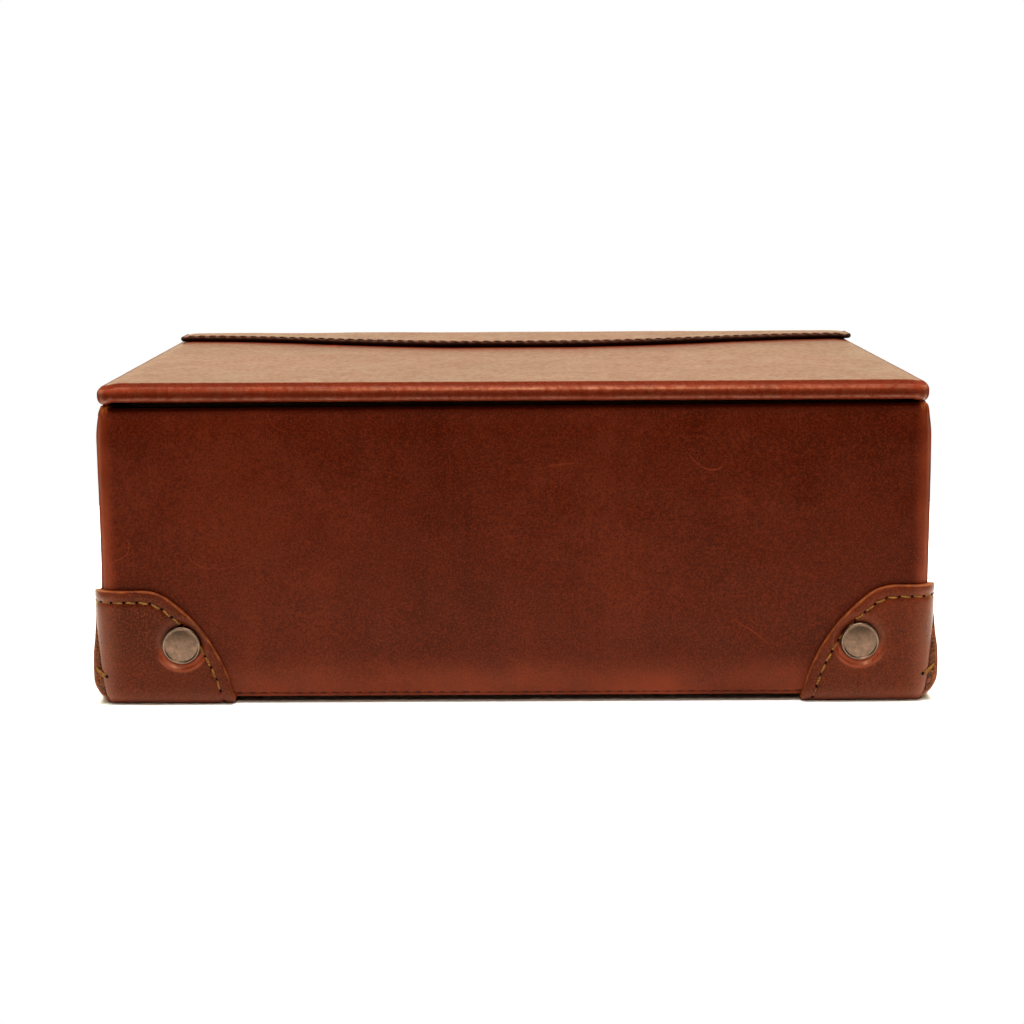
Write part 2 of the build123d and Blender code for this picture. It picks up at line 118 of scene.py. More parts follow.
def make_piece(name, points, wrap_rows=False, wrap_columns=False, keep=None, weld=0.004, **marks):
    """A closed mesh from a stack of grids of points in mm, (stack, rows, columns, 3).

    keep says which cells are made. marks are numbers per point, stored as attributes.
    """
    points = np.asarray(points, float)
    if points.ndim == 3:
        points = points[None]
        marks = {key: value[None] for key, value in marks.items()}
    faces = grid_faces(points.shape[:3], wrap_rows, wrap_columns)
    faces = faces[keep[None]] if keep is not None else faces.reshape(-1, 4)
    mesh = bpy.data.meshes.new(name)
    mesh.vertices.add(points.size // 3)
    mesh.vertices.foreach_set("co", (points * MM).astype(np.float32).ravel())
    mesh.loops.add(faces.size)
    mesh.loops.foreach_set("vertex_index", faces.astype(np.int32).ravel())
    mesh.polygons.add(len(faces))
    mesh.polygons.foreach_set("loop_start", np.arange(0, faces.size, 4, dtype=np.int32))
    mesh.update(calc_edges=True)
    for key, value in marks.items():
        attribute = mesh.attributes.new(key, "FLOAT", "POINT")
        attribute.data.foreach_set("value", np.asarray(value, np.float32).ravel())
    work = bmesh.new()
    work.from_mesh(mesh)
    bmesh.ops.remove_doubles(work, verts=work.verts, dist=weld * MM)
    bmesh.ops.dissolve_degenerate(work, edges=work.edges, dist=0.2 * weld * MM)
    loose = [v for v in work.verts if not v.link_faces]
    bmesh.ops.delete(work, geom=loose, context="VERTS")
    bmesh.ops.holes_fill(work, edges=[e for e in work.edges if e.is_boundary], sides=0)
    bmesh.ops.recalc_face_normals(work, faces=work.faces)
    work.to_mesh(mesh)
    work.free()
    mesh.shade_smooth()
    piece = bpy.data.objects.new(name, mesh)
    bpy.context.scene.collection.objects.link(piece)
    print(f"{name}: {len(mesh.vertices)} points, {len(mesh.polygons)} faces")
    return piece


# %% [markdown]
# A few helpers give the surfaces their life. An ease is a smooth ramp from 0 to 1, for anything that
# fades in, and a fade is the same ramp going down. A hump is a soft bell round one value, for channels
# and pressed lines. A ripple is the slight unevenness of hand-laid leather: a handful of sine waves with
# random headings and lengths, added up. Its random numbers come from a seed, so each run gives the
# same box.

# %% Ramps, humps and unevenness
def ease(value, start, end):
    """0 up to start, 1 from end on, and the S-curve 3t^2 - 2t^3 between."""
    t = np.clip((value - start) / (end - start), 0, 1)
    return t * t * (3 - 2 * t)


def fade(value, start, end):
    """1 up to start, 0 from end on: 1 minus the ease."""
    return 1 - ease(value, start, end)


def hump(value, middle, width):
    """A bell of height 1 round middle: e to the power of -((value - middle) / width)^2."""
    return np.exp(-(((value - middle) / width) ** 2))


def unit(vectors):
    """Each vector divided by its own length."""
    return vectors / np.linalg.norm(vectors, axis=-1, keepdims=True)


def ripple(points, size, seed, waves=12):
    """Unevenness of about +-1: sines along random headings, of lengths scattered round size."""
    draw = np.random.default_rng(seed)
    heading = draw.normal(size=(3, waves))
    heading /= np.linalg.norm(heading, axis=0)
    length = size * draw.uniform(0.6, 1.7, waves)
    phase = draw.uniform(0, 2 * np.pi, waves)
    return np.sin(2 * np.pi * (points @ heading) / length + phase).sum(-1) / np.sqrt(waves)


def stretch(*pairs):
    """Evenly spaced values through several stops: (stop, steps to the next), ..., (last stop,)."""
    runs = [
        np.linspace(here[0], after[0], here[1], endpoint=False)
        for here, after in zip(pairs[:-1], pairs[1:])
    ]
    return np.concatenate(runs + [[pairs[-1][0]]])


# %% [markdown]
# ## Going round the box
#
# The walls and the lid are both a profile carried round a rounded rectangle. A station is a place on
# that loop: which way it faces, and where along the wall it is as a share from -1 to 1. Moving a
# station in or out then keeps corners round outside and lets them tighten to a point inside.

# %% Stations round a rounded rectangle
CORNER_STEPS = 18


def stations(wall_stops):
    """Shares (x, y) and facing of each station: for each wall its stops, then the corner's turn."""
    shares_x, shares_y, facing = [], [], []
    turns = np.linspace(0, 90, CORNER_STEPS, endpoint=False)
    for quarter, (corner_x, corner_y) in enumerate([(1, -1), (1, 1), (-1, 1), (-1, -1)]):
        along_x = quarter % 2 == 0
        stops = (1 if quarter < 2 else -1) * wall_stops[0 if along_x else 1]
        level = np.ones(len(stops))
        shares_x += [stops if along_x else corner_x * level, np.full(CORNER_STEPS, corner_x)]
        shares_y += [corner_y * level if along_x else stops, np.full(CORNER_STEPS, corner_y)]
        start = 90.0 * quarter - 90
        facing += [start * level, start + turns]
    return np.concatenate(shares_x), np.concatenate(shares_y), np.radians(np.concatenate(facing))


def round_the_loop(loop, out, height, half_x, half_y, radius, centre_y=0.0):
    """Points of a profile (out, height) carried round the loop: the corner radius grows with out.

    A point is the corner arc's centre plus its radius along the facing; on a wall the centre slides.
    """
    shares_x, shares_y, facing = loop
    corner = np.maximum(radius + out, 0.0)
    reach_x = np.maximum(half_x + out - corner, 0.0)
    reach_y = np.maximum(half_y + out - corner, 0.0)
    x = shares_x * reach_x + corner * np.cos(facing)
    y = shares_y * reach_y + corner * np.sin(facing) + centre_y
    return np.stack([x, y, height + 0 * x], axis=-1)


# %% [markdown]
# A profile is written as sections, each a run of points (out, height) with out measured from the wall's
# face: round edges are quarter turns, and flat stretches are evenly spaced points.

# %% Profile helpers
def quarter_turn(points):
    """Angles of a round edge: 0 to 90 degrees, in radians."""
    return np.radians(np.linspace(0, 90, points))


def join_sections(*sections):
    """Points (out, height) of sections put end to end; out or height may be one value for a section."""
    runs = [np.stack(np.broadcast_arrays(out, height), -1) for out, height in sections]
    return np.concatenate(runs)


# %% [markdown]
# ## The leather band round the walls
#
# On the real box one wide strap of leather is glued round the boards, turned over the rim and down
# inside, and turned under the base. Where the turned-over leather meets at a corner there is too much
# of it, so it is gathered into small pleats, and the lid rests on those. A box with bevelled edges
# would be quicker, but its edges would all be alike. So the band is a closed profile, outside face and
# glued face, carried round the loop, with the pleats as ridges across the rim.

# %% Wall leather profile
CORNER_RADIUS = 5.0
WALLS = (HALF_X, HALF_Y, CORNER_RADIUS)
BASE_ROUND = 1.5
WALL_FOOT = 1.2  # round where the walls' leather turns under
LEAN, LEAN_HEIGHT = 1.4, 10.0  # the wall draws in by this much over its last stretch
RIM_ROUND = 2.2
RIM_RUN = RIM_ROUND + 0.3  # the rim's round runs in a little further than it rises
BOARD_INSIDE = 5.5  # wall face to the board's inner face
LIP = BOARD_INSIDE + 0.8  # to the leather turned down inside
LIP_ROUND = 0.7
TURN_IN, TURN_UNDER = 14.0, 12.0


def wall_profile():
    """Out and height down the band, and how many of its points are seen: the rest is the glued face.

    In order: turned under, round at the base, wall, lean, round of the rim, top, inside, glued face.
    The lean is an arc of the radius (h^2 + l^2) / 2l, for a lean of l over a height of h.
    """
    lean_radius = (LEAN_HEIGHT**2 + LEAN**2) / (2 * LEAN)
    foot = UNDERSIDE + WALL_FOOT
    wall_z = stretch((foot - 0.05, 12), (foot + 2, 40), (RIM - LEAN_HEIGHT, 9), (RIM - RIM_ROUND,))[1:]
    rise = np.maximum(wall_z - (RIM - LEAN_HEIGHT), 0)
    wall_out = np.sqrt(lean_radius**2 - rise**2) - lean_radius
    base, crown, fold = quarter_turn(8), quarter_turn(10)[1:], quarter_turn(5)[1:]
    seen = join_sections(
        (np.linspace(-TURN_UNDER, -WALL_FOOT, 5, endpoint=False), UNDERSIDE),
        (-WALL_FOOT * (1 - np.sin(base)), UNDERSIDE + WALL_FOOT * (1 - np.cos(base))),
        (wall_out, wall_z),
        (wall_out[-1] - RIM_RUN * (1 - np.cos(crown)), RIM - RIM_ROUND * (1 - np.sin(crown))),
        (np.linspace(wall_out[-1] - RIM_RUN, LIP_ROUND - LIP, 6)[1:], RIM),
        (LIP_ROUND * (1 - np.sin(fold)) - LIP, RIM - LIP_ROUND * (1 - np.cos(fold))),
        (-LIP, np.linspace(RIM - LIP_ROUND, RIM - TURN_IN, 8)[1:]),
    )
    glued = [
        (-BOARD_INSIDE, RIM - TURN_IN), (-BOARD_INSIDE, RIM - COVER), (-COVER - LEAN, RIM - COVER),
        (-COVER, RIM - LEAN_HEIGHT), (-COVER, UNDERSIDE + COVER), (-TURN_UNDER, UNDERSIDE + COVER),
    ]
    out, height = np.concatenate([seen, glued]).T
    return out, height, len(seen)


profile_out, profile_z, outside_rows = wall_profile()
print("wall profile:", len(profile_out), "points,", outside_rows, "of them seen")

# %% [markdown]
# The pleats are worked out as a height to add near each corner. Their ridges run across the rim, a
# little under a millimetre apart, and grow from nothing to the height of the gap under the lid. Behind
# them the side rims swell up softly, because the turned-over leather is thickest there.

# %% Pleats at the rim's corners
LID_REST = LID_UNDER - RIM  # how high the gathered leather stands above the rim
PLEAT_REACH, SIDE_REACH = 4.8, 11.0  # how far the pleats run along the front and along the sides
PLEAT_PITCH = 0.95
SWELL = 0.9  # of LID_REST, along the sides behind the pleats


def pleats(flat):
    """How far a point is from its corner, how gathered the leather is, its ridges, crumple and swell.

    A ridge is a cosine of the way to the corner, PLEAT_PITCH long, which ripples push about.
    """
    x, y = np.abs(flat[..., 0]), np.abs(flat[..., 1])
    to_corner = np.hypot(HALF_X - x, HALF_Y - y)
    along_side = x > y * HALF_X / HALF_Y
    reach = np.where(along_side, SIDE_REACH, PLEAT_REACH)
    gather = fade(to_corner, 0.6 * reach, reach)
    along_rim = np.where(along_side, 1, -1) * to_corner
    wander = along_rim + 0.35 * ripple(flat, 5, 21) + 0.08 * (flat[..., 2] - RIM)
    ridge = 0.5 + 0.5 * np.cos(2 * np.pi * wander / PLEAT_PITCH)
    ridge = ridge ** 0.7 * (0.75 + 0.25 * ripple(flat, 3.0, 22))
    crumple = np.clip(0.62 + 0.45 * ridge + 0.16 * ripple(flat, 1.6, 26), 0, 1.02)
    swell = SWELL * along_side * fade(to_corner, 16, 26)
    return to_corner, gather, ridge, crumple, swell


# %% Wall leather mesh
STITCH_LINE_Z = UNDERSIDE + 1.25  # the row of stitches round the foot of the walls
FRONT_RISE, RIGHT_RISE = 0.62, 0.45  # the front rim's rise in the middle, and how it grows to the right
SCUFF_AND_BOUNCE_TOP = 17.0  # the walls are lighter up to here: partly scuffs, partly painted floor bounce


def near_corners(half, fine, coarse, spread=14.0):
    """Stops along a wall as shares of its half length, close together near both corners."""
    straight = half - CORNER_RADIUS
    stops = stretch((-straight, fine), (-straight + spread, coarse), (straight - spread, fine), (straight,))
    return stops / straight


def wall_leather(loop):
    """The band's points and marks: profile round the loop, plus ripples, pleats and a stitch line.

    Out is the profile's out, plus low ripples, plus creases at the pleats, minus the groove under the
    stitches. Height is the profile's, lifted by the pleats or the swell, but never past the lid.
    """
    out = profile_out[:, None] + 0 * loop[0]
    height = profile_z[:, None] + 0 * loop[0]
    flat = round_the_loop(loop, 0 * out, height, *WALLS)
    x, y = np.abs(flat[..., 0]), np.abs(flat[..., 1])
    seen = (np.arange(len(profile_out)) < outside_rows)[:, None]
    to_corner, gather, ridge, crumple, swell = pleats(flat)
    gather = seen * gather
    on_rim = ease(height, RIM - 1.8, RIM - 0.4) * ease(out, -LIP - 0.1, -LIP + 1.2)
    lift = np.maximum(gather * crumple, seen * swell) * on_rim * LID_REST
    at_front = ease(-flat[..., 1], HALF_Y - 16, HALF_Y - 9) * (1 - gather)
    rise = FRONT_RISE + RIGHT_RISE * flat[..., 0] / HALF_X
    lift = lift + at_front * ease(height, RIM - 7, RIM - 0.4) * rise
    crease = 0.15 * ease(height, RIM - 2.2, RIM) + 0.9 * ease(height, RIM - 2.8, RIM - 1.0) * (ridge - 0.8)
    uneven = 0.10 * ripple(flat, 60, 23) + 0.035 * ripple(flat, 14, 24)
    on_wall = seen * ease(out, -WALL_FOOT, -0.4)
    groove = 0.26 * (height < 20) * ease(out, -1.0, -0.4) * hump(height, STITCH_LINE_Z, 0.26)
    out = out + on_wall * (uneven - 0.06) + seen * (gather * crease - groove)
    out = np.where(seen, np.minimum(out, 0), out)
    points = round_the_loop(loop, out, np.minimum(height + lift, LID_UNDER), *WALLS)
    at_edge = fade(HALF_X - x, 2.4, 6.6) * fade(HALF_Y - y, 2.4, 6.6)
    # The bent tone here is partly pull-up at the folds and partly painted light: a painted highlight on the
    # pleats' ridges and the rounded upright corners, and painted floor bounce towards the foot.
    bends = [
        np.clip(gather * ease(height, RIM - 1.5, RIM - 0.2) * (0.1 + 0.5 * ridge), 0, 1),
        0.62 * seen * at_edge * (1 + 0.3 * ripple(flat * [1.0, 1.0, 0.25], 6, 25)),
        0.42 * on_wall * fade(height, 3.5, SCUFF_AND_BOUNCE_TOP) * (1 + 0.25 * ripple(flat, 30, 27)),
    ]
    raw = 0.8 * gather * (to_corner < 6) * ease(height, RIM - 2.0, RIM - 0.8) * ease(crumple, 0.72, 0.95)
    # at_rim also marks where the material darkens the rim's round under the lid: painted shade.
    at_rim = seen * ease(height, RIM - 2.8, RIM - 0.6)
    round_corner = seen * ease(x, HALF_X - 1.8, HALF_X - 0.5) * ease(y, HALF_Y - 16, HALF_Y - 9)
    marks = {
        "bend": np.maximum.reduce(bends), "raw": raw,
        "matt": np.maximum(at_rim, round_corner), "rim_shade": at_rim * (1 - gather),
    }
    return points, marks


wall_loop = stations((near_corners(HALF_X, 28, 84), near_corners(HALF_Y, 28, 52)))
points, marks = wall_leather(wall_loop)
wall_band = make_piece("wall_leather", points, wrap_rows=True, wrap_columns=True, **marks)
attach(wall_band, "case")
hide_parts("wall_cover")

# %% [markdown]
# ## The leather rolled round the lid
#
# The lid is a board with leather pulled over it, rolled round all four edges and turned in under
# them. A flat box would show hard, even edges, where the real ones roll further over than under. Its
# profile starts on the middle line of the top, so the rounded rectangle shrinks to that line and the
# surface closes on itself. The top sags very slightly, as leather does over a board.

# %% Lid leather profile
LID_BOARD = extent("lid_panel")[0][2]  # the board's own underside
LID_ROUND = 3.4
LID_FOOT_ROUND = 1.9
LID_CORNER = 6.0
LID_TURN_IN = 16.0
LID_SHAPE = (LID_X, LID_Y, LID_CORNER, LID_CENTRE_Y)


def lid_profile():
    """Out and height from the top's middle line, round the rolled edge, under it, and back inside.

    Also how many of the points are seen.
    """
    turn = quarter_turn(17)
    seen = join_sections(
        (stretch((-LID_Y, 34), (-14.0, 14), (-LID_ROUND,))[:-1], LID_TOP),
        (-LID_ROUND * (1 - np.sin(turn)), LID_TOP - LID_ROUND * (1 - np.cos(turn))),
        (0.0, np.linspace(LID_TOP - LID_ROUND, LID_FOOT + LID_FOOT_ROUND, 6)[1:-1]),
        (-LID_FOOT_ROUND * (1 - np.cos(turn)), LID_FOOT + LID_FOOT_ROUND * (1 - np.sin(turn))),
        (np.linspace(-LID_FOOT_ROUND, -LID_TURN_IN, 9)[1:], LID_FOOT),
    )
    under_board, over_board = LID_BOARD - 0.05, LID_TOP - COVER + 0.1
    glued = [
        (-LID_TURN_IN, under_board), (-LID_ROUND, under_board), (-COVER, (LID_FOOT + LID_TOP) / 2),
        (-LID_ROUND, over_board), (-LID_Y, over_board),
    ]
    out, height = np.concatenate([seen, glued]).T
    return out, height, len(seen)


# %% Lid leather mesh
DROOP_LEFT, DROOP_RIGHT = 0.8, 0.45
LEFT_LONGER = 0.5  # the lid's left end stands out by this much


def lid_droop(x):
    """How far the lid's top rounds down towards its ends, a little more at the left."""
    return np.where(x < 0, DROOP_LEFT, DROOP_RIGHT) * ease(np.abs(x), LID_X - 8, LID_X - 2.5)


def lid_leather():
    """The lid's points: profile round the loop, with a slight sag, ripples and gathered corners.

    The sag is 0.3 sqrt((1 - x^2)(1 - y^2)), with x and y as shares of the lid's half sizes.
    """
    lid_out, lid_z, seen_rows = lid_profile()
    loop = stations((np.linspace(-1, 1, 160), np.linspace(-1, 1, 104)))
    out = lid_out[:, None] + 0 * loop[0]
    height = lid_z[:, None] + 0 * loop[0]
    plain = round_the_loop(loop, out, height, *LID_SHAPE)
    seen = (np.arange(len(lid_out)) < seen_rows)[:, None]
    x, y = plain[..., 0] / LID_X, (plain[..., 1] - LID_CENTRE_Y) / LID_Y
    sideways = np.abs(plain[..., 0])
    dome = np.clip(1 - x**2, 0, 1) * np.clip(1 - y**2, 0, 1)
    on_top = seen * ease(height, LID_TOP - 0.8, LID_TOP)
    sag = on_top * (0.30 * np.sqrt(dome) + 0.05 * (1 + ripple(plain, 34, 31)) * ease(dome, 0, 0.12))
    at_roll = seen * ease(out, -2 * LID_ROUND, -0.5 * LID_ROUND)
    out = out - at_roll * 0.05 * (1.2 + ripple(plain, 26, 32))
    at_corner = np.abs(loop[0]) + np.abs(loop[1]) > 1.9999
    corner = np.abs(np.sin(2 * loop[2])) ** 0.7 * at_corner
    low_side = seen * fade(height, LID_FOOT + 0.2, LID_FOOT + 2.6) * ease(out, -9, -2)
    pleat = 0.28 * corner * low_side * np.cos(loop[2] * 22 + 0.7)
    droop = seen * lid_droop(plain[..., 0]) * ease(height, LID_FOOT + 0.5, LID_TOP - 0.5)
    pulled_up = ease(-y, 0.9, 0.96) * fade(sideways, LID_X - 6, LID_X - 2.5)
    hang = seen * LID_PULL * (1 - pulled_up) * fade(height, LID_FOOT, LID_FOOT + 2.6)
    points = round_the_loop(loop, out + np.minimum(pleat, 0), height - sag - droop - hang, *LID_SHAPE)
    points[..., 0] -= LEFT_LONGER * ease(-points[..., 0], LID_X - 40, LID_X)
    # edge lays the bent tone as a painted highlight a third of the way down the rolled edge, and low as a
    # painted floor reflection along its foot.
    edge = seen * ease(out, -0.7 * LID_ROUND, -0.2 * LID_ROUND) * hump(height, LID_TOP - 2.1, 1.0)
    low = seen * ease(out, -1.9, -0.4) * hump(height, LID_FOOT + 0.9, 0.9)
    bend = np.clip(0.9 * edge + 0.4 * low + 0.2 * corner * seen * ease(out, -5, -1), 0, 1)
    ends = ease(sideways, LID_X - 2.4, LID_X - 0.6)
    crest = ease(out, -3.2, -2.2) * ease(height, LID_TOP - 1.7, LID_TOP - 1.2)
    return points, {"bend": bend, "raw": 0 * bend, "matt": seen * np.maximum(ends, 0.8 * crest)}


points, marks = lid_leather()
lid_skin = make_piece("lid_leather", points, wrap_rows=True, wrap_columns=True, **marks)
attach(lid_skin, "lid")
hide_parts("lid_cover")

# %% [markdown]
# ## The hinge strip
#
# One piece of thick leather lies on the lid's far half, folds over its back edge and is sewn down the
# rear wall: it is the hinge. Its outline is a bell on both halves. A flat sheet with a thickness added
# would end in a square edge, but this edge is sanded round and burnished. So the strip is two sheets,
# top and underside, that meet along a round edge, bent over the lid's back edge along an arc. The rows
# of stitches press a shallow channel near the edge and pull it in at every stitch.

# %% Hinge strip outline
STRIP = 2.0
STRIP_HALF = extent("hinge_upper_leaf")[1][0]
FOLD_INNER = 3.4
FOLD_Y, FOLD_Z = HALF_Y - FOLD_INNER, LID_TOP - FOLD_INNER
FOLD_LENGTH = (FOLD_INNER + STRIP / 2) * np.pi / 2
STRIP_FLAT = 15.0
TIP_RADIUS = 4.0
TIP_X = STRIP_HALF - TIP_RADIUS
STITCH_PITCH = 4.1
STRIP_STITCH_IN = 1.7
STRIP_SHIFT = 1.1  # the strip lies this much to the right of the middle
NEAR_ENDS, DROP_ENDS = 18.5, 20.0  # the strip's reach at its ends, onto the lid and down the wall
near_reach = HALF_Y - extent("hinge_upper_leaf")[0][1]
drop_reach = LID_TOP - extent("hinge_lower_leaf")[0][2]


def bell(x, middle, ends):
    """The strip's reach at x: level in the middle, then half a cosine wave down to the ends."""
    along = np.clip((np.abs(x) - STRIP_FLAT) / (TIP_X - STRIP_FLAT), 0, 1)
    reach = ends + (middle - ends) * (1 + np.cos(np.pi * along)) / 2
    past = np.clip(np.abs(x) - TIP_X, 0, TIP_RADIUS)
    return reach - TIP_RADIUS + np.sqrt(TIP_RADIUS**2 - past**2)


def strip_limits(x):
    """Where the strip begins on the lid and ends on the wall, as distances along it."""
    begin = -(bell(x, near_reach, NEAR_ENDS) - FOLD_INNER)
    end = FOLD_LENGTH + bell(x, drop_reach, DROP_ENDS) - FOLD_INNER
    return begin, end


def strip_inset(x, along):
    """Distance in from the strip's outline, measured square to it, and from an arc's centre at a tip."""
    begin, end = strip_limits(x)
    step = 0.05
    slope = (strip_limits(np.abs(x) - step)[0] - begin) / step
    depth = np.minimum(along - begin, end - along)
    square = depth / np.sqrt(1 + np.clip(slope, -1, 1) ** 2)
    past = np.abs(x) - TIP_X
    tip_end = np.sqrt(TIP_RADIUS**2 - np.clip(past, 0, TIP_RADIUS) ** 2)
    round_tip = TIP_RADIUS - np.hypot(past, tip_end - depth)
    in_tip = (past > 0) & (depth < TIP_RADIUS)
    side = STRIP_HALF - np.abs(x)
    return np.maximum(np.minimum(np.where(in_tip, round_tip, square), side), 0)


print(f"strip {2 * STRIP_HALF:.0f} mm wide, {near_reach:.1f} mm onto the lid, {drop_reach:.1f} mm down")

# %% Hinge strip mesh
def on_strip(x, along, out):
    """A point of the strip: along runs from the lid over the fold (0 to FOLD_LENGTH) and down the wall."""
    x = x + STRIP_SHIFT
    turn = np.clip(along / FOLD_LENGTH, 0, 1) * np.pi / 2
    radius = FOLD_INNER + out
    on_lid = np.minimum(along, 0)
    on_wall = np.maximum(along - FOLD_LENGTH, 0)
    y = FOLD_Y + on_lid + radius * np.sin(turn)
    z = FOLD_Z + radius * np.cos(turn) - on_wall - 0.35 * lid_droop(x) * (1 - turn / (np.pi / 2))
    return np.stack([x + 0 * y, y, z], axis=-1)


def hinge_strip():
    """Two sheets, top and underside, STRIP sqrt(1 - (1 - d)^2) apart at d mm in from the edge."""
    edge = np.array([0, 0.03, 0.12, 0.28, 0.5, 0.8, 1.2, 1.8, 2.5, 3.3, 4.2])
    half = STRIP_HALF
    x = np.concatenate([-half + edge, np.linspace(-half + 5, half - 5, 360), (half - edge)[::-1]])
    begin, end = strip_limits(x)
    inner = np.linspace(0, 1, 64)[:, None]
    middle = begin + 5 + (end - begin - 10) * inner
    along = np.concatenate([begin + edge[:, None], middle, (end - edge[:, None])[::-1]])
    across = x + 0 * along
    d = strip_inset(across, along)
    thick = STRIP / 2 * np.sqrt(1 - (1 - np.clip(d, 0, 1)) ** 2)
    beat = 0.5 + 0.5 * np.cos(2 * np.pi * across / STITCH_PITCH)
    channel = 0.16 * hump(d, STRIP_STITCH_IN, 0.8) * (0.7 + 0.5 * beat)
    pull = 0.34 * beat * fade(d, 0.6, 2.4) * ease(d, 0, 0.3)
    flat = np.stack([across, along, 0 * along], axis=-1)
    uneven = 0.05 * ripple(flat, 30, 41) * ease(d, 0, 3)
    curl = 0.08 * (1 + ripple(flat, 45, 42)) * fade(along - begin, 0, 8)
    top = on_strip(across, along, STRIP / 2 + thick - channel - pull + uneven + curl)
    under = on_strip(across, along, STRIP / 2 - (1 - 0.03 / (STRIP / 2)) * thick + curl)
    edge_mark = fade(d, 0.3, 1.5)
    folded = hump(along, FOLD_LENGTH / 2, 5.0)
    raw = np.concatenate([edge_mark, np.maximum(edge_mark, 0.8)[::-1]])
    bend = np.concatenate([0.5 * folded, 0 * folded])
    return np.concatenate([top, under[::-1]]), raw, bend


points, raw, bend = hinge_strip()
strip = make_piece("hinge_strip", points, wrap_rows=True, raw=raw, bend=bend)

# %% [markdown]
# ## The corner guards
#
# Each lower corner wears a guard cut from thick leather, wrapped round the corner and riveted on. It
# is the hardest piece of the box. Modelling it in place would mean bending its outline by eye round
# three faces, so it is worked out flat first, like the real cutting pattern: s runs round the corner
# (minus along the front or rear wall, plus along the side), w runs up the wall and, below zero, round
# the base and under it. One function then wraps the pattern onto the box.

# %% Wrapping the pattern
OUTER_CORNER = CORNER_RADIUS + GUARD
CORNER_RUN = OUTER_CORNER * np.pi / 4  # half the leather's way round the upright corner
BASE_OUTER = BASE_ROUND + GUARD
BASE_RUN = BASE_OUTER * np.pi / 2  # its way round the base
BASE_Z = UNDERSIDE + BASE_ROUND


def flat_s(d):
    """The pattern's |s| for a distance in from the guard's outer corner face."""
    return d - OUTER_CORNER + CORNER_RUN


def flat_d(s):
    """The distance in from the guard's outer corner face for a place s of the pattern."""
    return np.abs(s) + OUTER_CORNER - CORNER_RUN


def flat_w(z):
    """The pattern's w for a height: up from BASE_Z, or the way round the base's quarter circle."""
    turn = np.arcsin(np.clip((BASE_Z - z) / BASE_OUTER, 0, 1))
    return np.where(z > BASE_Z, z - BASE_Z, -turn / (np.pi / 2) * BASE_RUN)


def wrap_guard(side, end, s, w, n):
    """Point of a guard: s round the corner, w up the wall or under the base, n out of the box's face.

    Above w = 0 the leather stands; it then turns through a quarter circle; past that it runs inwards.
    """
    turn = np.clip(-w / BASE_RUN, 0, 1) * np.pi / 2
    under = np.maximum(-w - BASE_RUN, 0)
    foot_n = n * (1 + (UNDERSIDE / GUARD - 1) * turn / (np.pi / 2))
    out = np.where(w > 0, n, -BASE_ROUND + (BASE_ROUND + n) * np.cos(turn) - under)
    z = np.where(w > 0, BASE_Z + w, BASE_Z - (BASE_ROUND + foot_n) * np.sin(turn))
    facing = np.radians(225 - 45 * np.clip(s / CORNER_RUN, -1, 1))
    radius = CORNER_RADIUS + out
    corner = np.abs(s) < CORNER_RUN
    radius = np.where(corner, np.maximum(radius, 0), radius)
    past = np.maximum(np.abs(s) - CORNER_RUN, 0)
    p = radius * np.cos(facing) + np.where(s < 0, past, 0)
    q = radius * np.sin(facing) + np.where(s > 0, past, 0)
    x = side * (HALF_X - CORNER_RADIUS - p)
    y = end * (HALF_Y - CORNER_RADIUS - q)
    return np.stack([x, y, z], axis=-1)


# %% [markdown]
# The pattern's edge is level over the corner, turns down through a small arc, and runs to the base on
# a long one. The same two arcs tell how far any point lies in from that edge, which the rounded edge,
# the channel under the stitches and the stitch line itself all need.

# %% Guard outline
TURN_RADIUS, TURN_ANGLE, SLOPE = 14.0, radians(37.0), 0.6


def arc_height(d, centre, radius):
    """Height of an arc at distance d."""
    return centre[1] + np.sqrt(np.maximum(radius**2 - (d - centre[0]) ** 2, 0))


class Lobe:
    """One lobe's outline: reach along the wall from the guard's outer corner, and height."""

    def __init__(self, reach, height):
        """Places of the two arcs' centres: the small one turns by TURN_ANGLE, the long one goes on."""
        self.reach, self.height = reach, height
        drop = height - TURN_RADIUS * (1 - np.cos(TURN_ANGLE))
        run = drop * SLOPE
        self.shoulder = np.array([reach - run, drop])
        self.start = reach - run - TURN_RADIUS * np.sin(TURN_ANGLE)
        self.small = np.array([self.start, height - TURN_RADIUS])
        lean = np.arctan2(drop, run) - TURN_ANGLE
        self.radius = np.hypot(run, drop) / (2 * np.sin(lean))
        inward = -np.array([np.sin(TURN_ANGLE), np.cos(TURN_ANGLE)])
        self.large = self.shoulder + self.radius * inward

    def top(self, d):
        """Height of the edge at distance d from the corner."""
        small = arc_height(d, self.small, TURN_RADIUS)
        large = np.maximum(arc_height(d, self.large, self.radius), 0)
        return np.where(d < self.start, self.height, np.where(d < self.shoulder[0], small, large))

    def inset(self, d, z):
        """Distance in from the edge: down from the level part, or in towards an arc's centre."""
        along = (d - self.small[0]) * np.cos(TURN_ANGLE) - (z - self.small[1]) * np.sin(TURN_ANGLE)
        small = TURN_RADIUS - np.hypot(d - self.small[0], z - self.small[1])
        large = self.radius - np.hypot(d - self.large[0], z - self.large[1])
        level = np.where((d < self.start) | (z <= self.small[1]), self.height - z, small)
        return np.where(along > 0, large, level)

    def edge(self, steps=400, inset=0.0):
        """Points (d, z) along the edge, moved in by inset."""
        d = self.reach * np.linspace(0, 1, steps)
        edge = np.stack([d, self.top(d)], -1)
        on_arc = np.where((d < self.shoulder[0])[:, None], self.small - edge, self.large - edge)
        return edge + inset * unit(np.where((d < self.start)[:, None], [0.0, -1.0], on_arc))


# %% [markdown]
# A guard's relief is everything that lifts or presses its face: the rounded cut edge, the channel
# under the stitches with a dip at each needle hole, the dimple round each rivet, and the dart. The
# dart is sewn up the lower upright corner: the front leather's edge rolls in, and the side leather
# stands past it with its raw cut edge showing.

# %% Stitch line and dart line
STITCH_IN = 3.5
DART_TOP = 26.0


